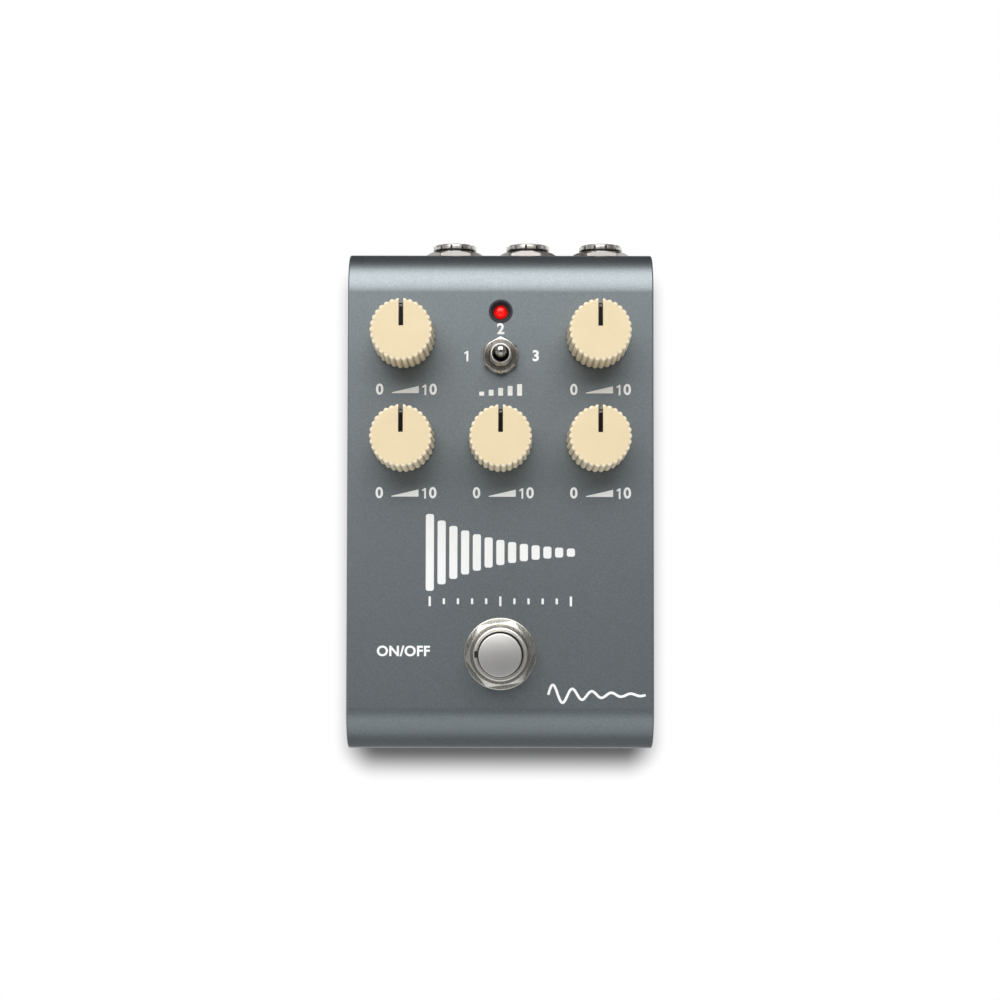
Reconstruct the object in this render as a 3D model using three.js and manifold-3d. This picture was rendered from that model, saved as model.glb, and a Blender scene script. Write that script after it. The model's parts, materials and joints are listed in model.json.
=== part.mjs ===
// A compact delay pedal: bent metal case, five knobs, a toggle, a status light, a footswitch and rear sockets.
// Millimetres, +Z up, +Y to the rear wall with the sockets, +X to the right.
// The origin is on the floor, under the middle of the whole pedal.

import * as THREE from 'three'
import { mergeVertices } from 'three/addons/utils/BufferGeometryUtils.js'
import Module from 'manifold-3d'

const wasm = await Module()
wasm.setup()

// Case sheet, tray and feet
const caseDepth = 111
const shellWall = 2
const endBendRadius = 9.5
const hemBendRadius = 3
const hemDepth = 10
const hemEndGap = 0.3
const edgeRounding = 0.4
const trayWall = 1.5
const trayBendRadius = 1.5
const trayEndInset = 0.5
const sideInset = 0.3
const lidGap = 0.3
const footHeight = 2.5
const footRadius = 6
const footFlare = 0.8
const footEdge = 0.5
const footSideInset = 8.5
const footEndInset = 17.5

// Base screws
const screwRadius = 1.5
const screwHeadRadius = 2.75
const screwHeadHeight = 1.5
const screwHeadEdge = 0.4
const screwReach = 5.5
const screwHoleGap = 0.1
const screwSideInset = 12
const screwEndInset = 6
const crossLength = 3
const crossWidth = 0.7
const crossDepth = 0.9

// Circuit boards
const boardThickness = 1.6
const boardEdgeGap = 0.3
const boardFrontReach = 11
const boardSwitchGap = 0.3
const standoffHeight = 4
const standoffRadius = 2.5
const standoffInset = 5
const headerWidth = 10
const headerDepth = 2.5
const headerEdgeInset = 1.5
const headerJackGap = 3.3
const jackRowGap = 2.5

// Audio jacks
const jackBodyWidth = 15.9
const jackBodyHeight = 12.3
const jackBodyLength = 26
const jackSpacing = 0.9
const jackEndWall = 0.8
const jackThreadRadius = 4.6
const jackHoleGap = 0.3
const jackBoreRadius = 3.25
const jackNutAcross = 12
const jackNutHeight = 1.9
const jackFlangeRadius = 6.8
const jackFlangeHeight = 0.5
const jackNutChamfer = 0.6
const jackThreadShow = 0.7
const ringRadius = 4.95
const ringHeight = 1.1
const ringEdge = 0.15
const ringLip = 0.25
const ringLipRadius = 3.35
const ringSpigotRadius = 3.9
const ringNotchWidth = 0.85
const ringNotchDepth = 0.6
const ringNotches = 12
const threadGap = 0.1

// Power socket and data port
const powerWidth = 9
const powerHeight = 11
const powerLength = 13.5
const powerAxisDrop = 6.2
const powerSpacing = 3.4
const powerNoseRadius = 4.1
const powerHoleGap = 0.3
const powerBoreRadius = 3.1
const powerBoreDepth = 9.5
const powerPinRadius = 1.05
const powerPinInset = 1.3
const portWidth = 8.94
const portHeight = 3.2
const portLength = 8.5
const portWall = 0.32
const portDepth = 6.5
const portTongueWidth = 6.7
const portTongueHeight = 0.7
const portTongueInset = 0.8
const portHoleGap = 0.25
const faceInset = 0.3
const sideClearance = 1.25

// Toggle switch
const toggleBodyWidth = 13.2
const toggleBodyDepth = 7.9
const toggleBodyHeight = 8.9
const togglePinGap = 0.8
const toggleThreadRadius = 3.15
const toggleThreadReach = 6
const toggleHoleGap = 0.15
const toggleMouthRadius = 2.25
const toggleMouthDepth = 0.8
const toggleBoreRadius = 1.7
const toggleThreadEdge = 0.3
const toggleWasherRadius = 4.4
const toggleWasherHeight = 0.5
const toggleNutAcross = 7.7
const toggleNutHeight = 2
const toggleNutChamfer = 0.35
const leverBallRadius = 1.6
const leverBallDepth = 3.2
const leverNeckRadius = 0.8
const leverNeckHeight = 3.4
const leverTipRadius = 1.2
const leverReach = 6
const leverTailLength = 3
const leverTailRadius = 0.9
const tailRoomRadius = 2.5
const tailRoomGap = 0.6

// Status light
const bezelRadius = 2.62
const bezelHoleGap = 0.05
const bezelMouthRadius = 2.2
const bezelMouthDepth = 1.4
const lampRadius = 1.5
const lampGap = 0.06
const lampTopDrop = 0.5
const lampLength = 4
const lampLegWidth = 0.5
const lampLegSpacing = 1.9

// Potentiometers, shafts and knobs
const potWidth = 9.5
const potDepth = 11
const potHeight = 6.8
const potCollarRadius = 3.9
const potCollarGap = 0.3
const shaftRadius = 3
const shaftGap = 0.08
const shaftSink = 3
const shaftFlat = 1.6
const shaftTopGap = 0.5
const shaftHoleGap = 0.5
const knobGap = 0.8
const knobHeight = 14.7
const knobBaseRadius = 7.05
const knobCrestRadius = 6.75
const knobFaceRadius = 6.6
const knobTopEdge = 0.2
const knobRoof = 3
const fluteDepth = 0.3
const flutes = 30
const pointerWidth = 0.93
const pointerDepth = 0.5
const pointerStart = 0.8
const pointerSunk = 0.08
const pointerGap = 0.04

// Footswitch
const switchFlangeRadius = 8.3
const switchFlangeHeight = 1.5
const switchThreadRadius = 6
const switchThreadReach = 7.5
const switchThreadEdge = 0.35
const switchHoleGap = 0.2
const switchBoreRadius = 4.9
const switchMouthEdge = 0.25
const keywayWidth = 1.5
const keywayDepth = 0.75
const switchWasherRadius = 8.1
const switchWasherHeight = 0.6
const switchNutAcross = 14
const switchNutHeight = 2.8
const switchNutChamfer = 0.7
const switchNutTurn = 8
const switchBaseRadius = 7.5
const switchBaseHeight = 13.5
const switchBaseWall = 1.5
const buttonRadius = 4.7
const buttonReach = 5
const buttonEdge = 0.9
const buttonStopRadius = 5.5
const buttonStopHeight = 1.7
const buttonStopGap = 0.3
const buttonStopClearance = 0.4
const springRadius = 3.4
const springWire = 0.7
const springGap = 0.1

// Places on the panel, from the rear and front faces of the case
const knobSideInset = 12.45
const rearRowInset = 19.6
const rowSpacing = 23
const toggleInset = 23.8
const lampInset = 13.8
const switchInset = 21.2

// Cuts run past the faces they leave by this much
const overrun = 1
const weldDistance = 0.0001

// Flats per turn on round pieces, and steps on bends
const wideSides = 32
const midSides = 24
const slimSides = 16
const bendSteps = 3
const domeSteps = 4
const edgeSteps = 3

// Heights above the floor, from the feet up through both jack rows to the panel
const trayTop = footHeight + trayWall
const lowerBoardUnder = trayTop + standoffHeight
const lowerBoardTop = lowerBoardUnder + boardThickness
const lowerJackHeight = lowerBoardTop + jackBodyHeight / 2
const upperJackHeight = lowerBoardTop + jackBodyHeight + jackRowGap + jackBodyHeight / 2
const boardUnder = upperJackHeight + jackBodyHeight / 2
const boardTop = boardUnder + boardThickness
const panelUnder = boardTop + togglePinGap + toggleBodyHeight
const panelTop = panelUnder + shellWall

// Plan: the rear sockets stand side by side and set the width of the case
const sideAllowance = sideInset + trayWall + sideClearance
const jackPitch = jackBodyWidth + jackSpacing
const audioJacks = ['left', 'middle', 'right']
const jackRowWidth = audioJacks.length * jackBodyWidth + (audioJacks.length - 1) * jackSpacing
const caseWidth = 2 * sideAllowance + powerWidth + powerSpacing + jackRowWidth
const halfWidth = caseWidth / 2
const halfDepth = caseDepth / 2
const rightJackX = halfWidth - sideAllowance - jackBodyWidth / 2
const powerX = sideAllowance + powerWidth / 2 - halfWidth
const knobColumn = halfWidth - knobSideInset
const rearRowY = halfDepth - rearRowInset
const middleRowY = rearRowY - rowSpacing
const switchY = switchInset - halfDepth
const jackProud = jackNutHeight + jackThreadShow + ringHeight

const colours = {
  panel: 0x6f797d,
  tray: 0x5d6669,
  cream: 0xeedcb2,
  pointer: 0x17140f,
  nickel: 0xc9c6c0,
  chrome: 0xd9d7d3,
  steel: 0x8f9091,
  blackPlastic: 0x1b1b1c,
  rubber: 0x202021,
  lamp: 0xe01010,
  board: 0x12382a,
  potBody: 0x3a4a40,
}

function finish(colour, roughness, metalness) {
  return new THREE.MeshStandardMaterial({ color: colour, roughness, metalness })
}

function signedVolume(points, corners) {
  const [a, b, c] = [new THREE.Vector3(), new THREE.Vector3(), new THREE.Vector3()]
  let total = 0
  for (let i = 0; i < corners.length; i += 3) {
    a.fromArray(points, 3 * corners[i])
    b.fromArray(points, 3 * corners[i + 1])
    c.fromArray(points, 3 * corners[i + 2])
    total += a.dot(b.cross(c))
  }
  return total
}

// A closed geometry as a solid, its shared corners welded and its faces turned outward.
function solidOf(geometry) {
  const bare = geometry.clone()
  bare.deleteAttribute('normal')
  bare.deleteAttribute('uv')
  const merged = mergeVertices(bare, weldDistance)
  const points = merged.attributes.position.array
  const all = merged.index.array
  const corners = []
  for (let i = 0; i < all.length; i += 3) {
    const [a, b, c] = [all[i], all[i + 1], all[i + 2]]
    if (a !== b && b !== c && c !== a) corners.push(a, b, c)
  }
  if (signedVolume(points, corners) < 0) corners.reverse()
  const mesh = { numProp: 3, vertProperties: new Float32Array(points), triVerts: new Uint32Array(corners) }
  return new wasm.Manifold(new wasm.Mesh(mesh))
}

function geometryOf(solid) {
  const mesh = solid.getMesh()
  const geometry = new THREE.BufferGeometry()
  geometry.setAttribute('position', new THREE.BufferAttribute(new Float32Array(mesh.vertProperties), 3))
  geometry.setIndex(new THREE.BufferAttribute(new Uint32Array(mesh.triVerts), 1))
  geometry.computeVertexNormals()
  return geometry
}

function piece(name, solid, material) {
  const mesh = new THREE.Mesh(geometryOf(solid), material)
  mesh.name = name
  return mesh
}

// Turns a profile of [radius, height] points about +Z.
function turned(profile, sides) {
  const points = profile.map(([radius, height]) => new THREE.Vector2(radius, height))
  return solidOf(new THREE.LatheGeometry(points, sides).rotateX(Math.PI / 2))
}

function bar(radius, low, high, sides) {
  return turned([[0, low], [radius, low], [radius, high], [0, high]], sides)
}

function tube(outer, inner, low, high, sides) {
  return turned([[inner, low], [outer, low], [outer, high], [inner, high], [inner, low]], sides)
}

function block(width, depth, low, high, x = 0, y = 0) {
  const box = new THREE.BoxGeometry(width, depth, high - low)
  return solidOf(box.translate(x, y, (low + high) / 2))
}

// Profile points of a half-round dome that starts at its full radius and ends on the axis.
function domed(radius, height) {
  return Array.from({ length: domeSteps + 1 }, (_, i) => {
    const angle = (i / domeSteps) * (Math.PI / 2)
    return [i < domeSteps ? radius * Math.cos(angle) : 0, height + radius * Math.sin(angle)]
  })
}

// Raises a flat outline from one height to another.
function prism(outline, low, high) {
  const options = { depth: high - low, bevelEnabled: false, curveSegments: bendSteps }
  return solidOf(new THREE.ExtrudeGeometry(outline, options).translate(0, 0, low))
}

// Runs a side-view outline, drawn in [Y, Z], across the width with its two end edges rounded.
function acrossWidth(outline, width, rounding = 0) {
  const options = {
    depth: width - 2 * rounding,
    bevelEnabled: rounding > 0,
    bevelThickness: rounding,
    bevelSize: rounding,
    bevelOffset: -rounding,
    bevelSegments: 1,
    curveSegments: bendSteps,
  }
  const geometry = new THREE.ExtrudeGeometry(outline, options)
  const [x, y, z] = [new THREE.Vector3(1, 0, 0), new THREE.Vector3(0, 1, 0), new THREE.Vector3(0, 0, 1)]
  geometry.applyMatrix4(new THREE.Matrix4().makeBasis(y, z, x))
  return solidOf(geometry.translate(rounding - width / 2, 0, 0))
}

function outlineOf(points) {
  return new THREE.Shape(points.map(([x, y]) => new THREE.Vector2(x, y)))
}

// A hexagon nut with its outer corners turned down to a chamfer, flats square to the turn given.
function hexNut(across, bore, low, high, chamfer, turnDegrees, sides) {
  const corner = across / Math.sqrt(3)
  const turn = THREE.MathUtils.degToRad(turnDegrees)
  const corners = Array.from({ length: 6 }, (_, i) => {
    const angle = turn + (i * Math.PI) / 3
    return [corner * Math.cos(angle), corner * Math.sin(angle)]
  })
  const flats = across / 2
  const blank = turned([
    [0, low], [corner, low], [corner, high - chamfer], [flats, high], [0, high],
  ], sides)
  const hole = bar(bore, low - overrun, high + overrun, sides)
  return prism(outlineOf(corners), low, high).intersect(blank).subtract(hole)
}

// Side view of the bent case sheet: hem, front wall, panel, rear wall, hem.
function shellOutline() {
  const inner = endBendRadius - shellWall
  const hemInner = hemBendRadius - shellWall
  const [front, rear] = [-halfDepth, halfDepth]
  const low = trayTop
  const shape = new THREE.Shape()
  shape.moveTo(front + hemDepth, low)
  shape.lineTo(front + hemBendRadius, low)
  shape.absarc(front + hemBendRadius, low + hemBendRadius, hemBendRadius, -Math.PI / 2, -Math.PI, true)
  shape.absarc(front + endBendRadius, panelTop - endBendRadius, endBendRadius, Math.PI, Math.PI / 2, true)
  shape.absarc(rear - endBendRadius, panelTop - endBendRadius, endBendRadius, Math.PI / 2, 0, true)
  shape.absarc(rear - hemBendRadius, low + hemBendRadius, hemBendRadius, 0, -Math.PI / 2, true)
  shape.lineTo(rear - hemDepth, low)
  shape.lineTo(rear - hemDepth, low + shellWall)
  shape.absarc(rear - hemBendRadius, low + hemBendRadius, hemInner, -Math.PI / 2, 0, false)
  shape.absarc(rear - endBendRadius, panelTop - endBendRadius, inner, 0, Math.PI / 2, false)
  shape.absarc(front + endBendRadius, panelTop - endBendRadius, inner, Math.PI / 2, Math.PI, false)
  shape.absarc(front + hemBendRadius, low + hemBendRadius, hemInner, Math.PI, Math.PI * 1.5, false)
  shape.lineTo(front + hemDepth, low + shellWall)
  shape.closePath()
  return shape
}

// Places a solid made on +Z so that it points out of the rear wall, its zero at the wall's outer face.
function outOfRear(solid, x, height) {
  return solid.rotate([-90, 0, 0]).translate([x, halfDepth, height])
}

function jackX(place) {
  return rightJackX - (audioJacks.length - 1 - place) * jackPitch
}

function knobPlaces() {
  return [
    { where: 'rear_left', x: -knobColumn, y: rearRowY },
    { where: 'rear_right', x: knobColumn, y: rearRowY },
    { where: 'middle_left', x: -knobColumn, y: middleRowY },
    { where: 'middle_centre', x: 0, y: middleRowY },
    { where: 'middle_right', x: knobColumn, y: middleRowY },
  ]
}

const jackPlaces = [
  ...audioJacks.map((where, place) => ({ name: `${where}_jack`, x: jackX(place), height: upperJackHeight })),
  { name: 'expression_jack', x: rightJackX, height: lowerJackHeight },
]
const powerHeightUp = boardUnder - powerAxisDrop
const portX = jackX(0)
const portHeightUp = lowerBoardTop + portHeight / 2

function roundedBar(width, height, low, high, shrink) {
  const radius = height / 2 - shrink
  const reach = width / 2 - shrink - radius
  const shape = new THREE.Shape()
  shape.absarc(reach, 0, radius, -Math.PI / 2, Math.PI / 2, false)
  shape.absarc(-reach, 0, radius, Math.PI / 2, Math.PI * 1.5, false)
  shape.closePath()
  return prism(shape, low, high)
}

function screwPlaces() {
  const x = halfWidth - screwSideInset
  const y = halfDepth - screwEndInset
  return fourCorners(x, y)
}

function fourCorners(x, y) {
  return [
    { where: 'front_left', x: -x, y: -y },
    { where: 'front_right', x, y: -y },
    { where: 'rear_left', x: -x, y },
    { where: 'rear_right', x, y },
  ]
}

function chassisShell() {
  const through = [panelUnder - overrun, panelTop + overrun]
  let shell = acrossWidth(shellOutline(), caseWidth, edgeRounding)
  for (const { x, y } of knobPlaces()) {
    shell = shell.subtract(bar(shaftRadius + shaftHoleGap, ...through, slimSides).translate([x, y, 0]))
  }
  const toggleHole = bar(toggleThreadRadius + toggleHoleGap, ...through, midSides)
  const lampHole = bar(bezelRadius + bezelHoleGap, ...through, midSides)
  const switchHole = bar(switchThreadRadius + switchHoleGap, ...through, wideSides)
  shell = shell.subtract(toggleHole.translate([0, halfDepth - toggleInset, 0]))
  shell = shell.subtract(lampHole.translate([0, halfDepth - lampInset, 0]))
  shell = shell.subtract(switchHole.translate([0, switchY, 0]))

  const wall = [-shellWall - overrun, overrun]
  for (const { x, height } of jackPlaces) {
    shell = shell.subtract(outOfRear(bar(jackThreadRadius + jackHoleGap, ...wall, midSides), x, height))
  }
  const powerHole = bar(powerNoseRadius + powerHoleGap, ...wall, midSides)
  shell = shell.subtract(outOfRear(powerHole, powerX, powerHeightUp))
  const portHole = roundedBar(portWidth, portHeight, ...wall, -portHoleGap)
  shell = shell.subtract(outOfRear(portHole, portX, portHeightUp))

  // The hems stop short of the side walls of the tray and hold the base screws.
  const hemCutWidth = sideInset + trayWall + hemEndGap
  const hemCutDepth = hemDepth - shellWall
  const hemCutX = halfWidth - hemCutWidth / 2 + overrun / 2
  const hemCutY = halfDepth - shellWall - hemCutDepth / 2
  for (const { x, y } of fourCorners(hemCutX, hemCutY)) {
    const inward = -Math.sign(y) * overrun / 2
    const low = trayTop - overrun
    const high = trayTop + hemBendRadius
    shell = shell.subtract(block(hemCutWidth + overrun, hemCutDepth + overrun, low, high, x, y + inward))
  }
  for (const { x, y } of screwPlaces()) {
    const hole = bar(screwRadius + screwHoleGap, trayTop - overrun, trayTop + shellWall + overrun, slimSides)
    shell = shell.subtract(hole.translate([x, y, 0]))
  }
  return piece('chassis_shell', shell, finish(colours.panel, 0.5, 0.6))
}

// Side view of the tray: the floor runs under the hems, the side walls stand inside the case sheet.
function traySideOutline() {
  const end = halfDepth - trayEndInset
  const wallEnd = halfDepth - shellWall - lidGap
  const radius = endBendRadius - shellWall - lidGap
  const top = panelUnder - lidGap
  const shape = new THREE.Shape()
  shape.moveTo(-end, footHeight)
  shape.lineTo(end, footHeight)
  shape.lineTo(end, trayTop)
  shape.lineTo(wallEnd, trayTop)
  shape.absarc(wallEnd - radius, top - radius, radius, 0, Math.PI / 2, false)
  shape.absarc(radius - wallEnd, top - radius, radius, Math.PI / 2, Math.PI, false)
  shape.lineTo(-wallEnd, trayTop)
  shape.lineTo(-end, trayTop)
  shape.closePath()
  return shape
}

// Front view of the tray: floor and side walls with one bend each.
function trayFrontOutline() {
  const half = halfWidth - sideInset
  const top = panelUnder
  const low = footHeight
  const shape = new THREE.Shape()
  shape.moveTo(-half, top)
  shape.absarc(trayBendRadius - half, low + trayBendRadius, trayBendRadius, Math.PI, Math.PI * 1.5, false)
  shape.absarc(half - trayBendRadius, low + trayBendRadius, trayBendRadius, -Math.PI / 2, 0, false)
  shape.lineTo(half, top)
  shape.lineTo(half - trayWall, top)
  shape.lineTo(half - trayWall, trayTop)
  shape.lineTo(trayWall - half, trayTop)
  shape.lineTo(trayWall - half, top)
  shape.closePath()
  return shape
}

const lowerBoardLeft = portX - portWidth / 2 - standoffInset
const lowerBoardRight = halfWidth - sideAllowance
const lowerBoardWidth = lowerBoardRight - lowerBoardLeft
const lowerBoardX = (lowerBoardLeft + lowerBoardRight) / 2
const boardRear = halfDepth - shellWall - boardEdgeGap
const headerRear = halfDepth - shellWall - jackBodyLength - headerJackGap
const lowerBoardFront = headerRear - headerDepth - headerEdgeInset
const lowerBoardDepth = boardRear - lowerBoardFront
const lowerBoardY = boardRear - lowerBoardDepth / 2

function standoffPlaces() {
  const rear = halfDepth - hemDepth - standoffInset
  const front = lowerBoardFront + standoffInset
  const [left, right] = [lowerBoardLeft + standoffInset, lowerBoardRight - standoffInset]
  return [[left, rear], [right, rear], [left, front], [right, front]]
}

function baseTray() {
  const width = caseWidth - 2 * sideInset
  const upright = prism(trayFrontOutline(), 0, caseDepth).rotate([90, 0, 0]).translate([0, halfDepth, 0])
  let tray = upright.intersect(acrossWidth(traySideOutline(), width + 2 * overrun))
  for (const [x, y] of standoffPlaces()) {
    const post = bar(standoffRadius, trayTop - trayWall / 2, lowerBoardUnder, slimSides)
    tray = tray.add(post.translate([x, y, 0]))
  }
  for (const { x, y } of screwPlaces()) {
    const hole = bar(screwRadius + screwHoleGap, footHeight - overrun, trayTop + overrun, slimSides)
    tray = tray.subtract(hole.translate([x, y, 0]))
  }
  return piece('base_tray', tray, finish(colours.tray, 0.55, 0.6))
}

function baseScrew(where, x, y) {
  const under = footHeight - screwHeadHeight
  const blank = turned([
    [0, under], [screwHeadRadius - screwHeadEdge, under], [screwHeadRadius, under + screwHeadEdge],
    [screwHeadRadius, footHeight], [screwRadius, footHeight], [screwRadius, footHeight + screwReach],
    [0, footHeight + screwReach],
  ], slimSides)
  const slot = block(crossLength, crossWidth, under - overrun, under + crossDepth)
  const screw = blank.subtract(slot).subtract(slot.rotate([0, 0, 90]))
  return piece(`base_screw_${where}`, screw.translate([x, y, 0]), finish(colours.steel, 0.35, 0.9))
}

function rubberFoot(where, x, y) {
  const foot = turned([
    [0, 0], [footRadius - footFlare, 0], [footRadius - footFlare + footEdge / 2, footEdge],
    [footRadius, footHeight], [0, footHeight],
  ], midSides)
  return piece(`rubber_foot_${where}`, foot.translate([x, y, 0]), finish(colours.rubber, 0.9, 0))
}

function statusLight() {
  const group = new THREE.Group()
  group.position.set(0, halfDepth - lampInset, 0)
  const bore = lampRadius + lampGap
  const bezel = turned([
    [bore, boardTop], [bezelRadius, boardTop], [bezelRadius, panelTop], [bezelMouthRadius, panelTop],
    [bore, panelTop - bezelMouthDepth], [bore, boardTop],
  ], midSides)
  const crown = panelTop - lampTopDrop - lampRadius
  const foot = panelTop - lampTopDrop - lampLength
  let lamp = turned([[0, foot], [lampRadius, foot], ...domed(lampRadius, crown)], midSides)
  for (const side of [-1, 1]) {
    const x = (side * lampLegSpacing) / 2
    lamp = lamp.add(block(lampLegWidth, lampLegWidth, boardTop, foot + lampRadius / 2, x))
  }
  group.add(piece('led_bezel', bezel, finish(colours.blackPlastic, 0.5, 0)))
  group.add(piece('status_led', lamp, finish(colours.lamp, 0.2, 0)))
  return group
}

function toggleSwitch() {
  const group = new THREE.Group()
  group.position.set(0, halfDepth - toggleInset, 0)
  const top = panelTop + toggleThreadReach
  const pivot = top - leverBallDepth
  const body = block(toggleBodyWidth, toggleBodyDepth, panelUnder - toggleBodyHeight, panelUnder)
  const thread = turned([
    [0, panelUnder - overrun], [toggleThreadRadius, panelUnder - overrun],
    [toggleThreadRadius, top - toggleThreadEdge], [toggleThreadRadius - toggleThreadEdge, top], [0, top],
  ], midSides)
  const boreEnd = pivot - leverBallRadius
  const roomEnd = boreEnd - leverTailLength - tailRoomGap
  const room = turned([
    [0, roomEnd], [tailRoomRadius, roomEnd], [tailRoomRadius, boreEnd], [toggleBoreRadius, boreEnd],
    [toggleBoreRadius, top - toggleMouthDepth], [toggleMouthRadius, top],
    [toggleMouthRadius, top + overrun], [0, top + overrun],
  ], midSides)
  group.add(piece('toggle_body', body.add(thread).subtract(room), finish(colours.nickel, 0.3, 0.9)))

  const washerTop = panelTop + toggleWasherHeight
  const washer = tube(toggleWasherRadius, toggleThreadRadius + threadGap, panelTop, washerTop, midSides)
  const nutTop = washerTop + toggleNutHeight
  const bore = toggleThreadRadius + threadGap
  const nut = hexNut(toggleNutAcross, bore, washerTop, nutTop, toggleNutChamfer, 30, midSides)
  group.add(piece('toggle_washer', washer, finish(colours.nickel, 0.3, 0.9)))
  group.add(piece('toggle_nut', nut, finish(colours.nickel, 0.25, 0.9)))

  const tip = top + leverReach
  const tail = boreEnd - leverTailLength
  const ballRise = Math.sqrt(leverBallRadius ** 2 - leverNeckRadius ** 2)
  const tailRise = Math.sqrt(leverBallRadius ** 2 - leverTailRadius ** 2)
  const half = leverBallRadius * Math.SQRT1_2
  const lever = turned([
    [0, tail], [leverTailRadius, tail], [leverTailRadius, pivot - tailRise], [half, pivot - half],
    [leverBallRadius, pivot], [half, pivot + half], [leverNeckRadius, pivot + ballRise],
    [leverNeckRadius, pivot + leverNeckHeight], ...domed(leverTipRadius, tip - leverTipRadius),
  ], slimSides)
  group.add(piece('toggle_lever', lever, finish(colours.chrome, 0.2, 1)))
  return group
}

// Side view of the black inlay, or of the slot cut for it when it is grown outward and inward.
function pointerOutline(surface, grow) {
  const low = panelTop + knobGap
  const top = low + knobHeight
  const depth = pointerDepth + grow
  const start = pointerStart - grow
  return outlineOf([
    [start, top + surface], [knobFaceRadius + surface, top + surface],
    [knobCrestRadius + surface, top - knobTopEdge + Math.min(surface, 0)],
    [knobBaseRadius + surface, low - Math.max(surface, 0)],
    [knobBaseRadius - depth, low - Math.max(surface, 0)],
    [knobCrestRadius - depth, top - depth], [start, top - depth],
  ])
}

function fluteShare(step) {
  const pattern = [0, 0, 1]
  return pattern[step % pattern.length]
}

// Turns the knob's side profile and draws every third step inward as a flute.
function flutedBlank() {
  const low = panelTop + knobGap
  const top = low + knobHeight
  const profile = [
    [0, low], [knobBaseRadius, low], [knobCrestRadius, top - knobTopEdge], [knobFaceRadius, top], [0, top],
  ]
  const flutedRows = [1, 2]
  const points = profile.map(([radius, height]) => new THREE.Vector2(radius, height))
  const geometry = new THREE.LatheGeometry(points, flutes * 3)
  const place = geometry.attributes.position
  for (let i = 0; i < place.count; i++) {
    const row = i % profile.length
    if (!flutedRows.includes(row)) continue
    const step = Math.floor(i / profile.length)
    const radius = Math.hypot(place.getX(i), place.getZ(i))
    const drawn = (radius - fluteDepth * fluteShare(step)) / radius
    place.setX(i, place.getX(i) * drawn)
    place.setZ(i, place.getZ(i) * drawn)
  }
  return solidOf(geometry.rotateX(Math.PI / 2))
}

// A round bar with one flat along it, facing away from the pointer.
function flattedBar(radius, flat, low, high) {
  const width = 2 * (radius + overrun)
  const y = -flat - width / 2
  return bar(radius, low, high, slimSides).subtract(block(width, width, low - overrun, high + overrun, 0, y))
}

function knobControl(where, x, y) {
  const group = new THREE.Group()
  group.position.set(x, y, 0)
  const low = panelTop + knobGap
  const shaftTop = low + knobHeight - knobRoof
  const bore = flattedBar(shaftRadius + shaftGap, shaftFlat + shaftGap, low - overrun, shaftTop + shaftTopGap)
  const slot = acrossWidth(pointerOutline(overrun, pointerGap), pointerWidth + 2 * pointerGap)
  const pointer = acrossWidth(pointerOutline(-pointerSunk, 0), pointerWidth)
  const knob = flutedBlank().subtract(bore).subtract(slot)
  group.add(piece(`knob_${where}`, knob, finish(colours.cream, 0.45, 0)))
  group.add(piece(`pointer_${where}`, pointer, finish(colours.pointer, 0.5, 0)))

  const potTop = boardTop + potHeight
  const collarTop = panelUnder - potCollarGap
  const sunk = potTop - shaftSink
  const shaft = bar(shaftRadius, sunk + shaftGap, low, slimSides)
    .add(flattedBar(shaftRadius, shaftFlat, low - knobGap / 2, shaftTop))
  const pot = block(potWidth, potDepth, boardTop, potTop)
    .add(bar(potCollarRadius, potTop - overrun, collarTop, slimSides))
    .subtract(bar(shaftRadius + shaftGap, sunk, panelTop, slimSides))
  group.add(piece(`shaft_${where}`, shaft, finish(colours.steel, 0.35, 0.9)))
  group.add(piece(`potentiometer_${where}`, pot, finish(colours.potBody, 0.6, 0.1)))
  return group
}

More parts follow.
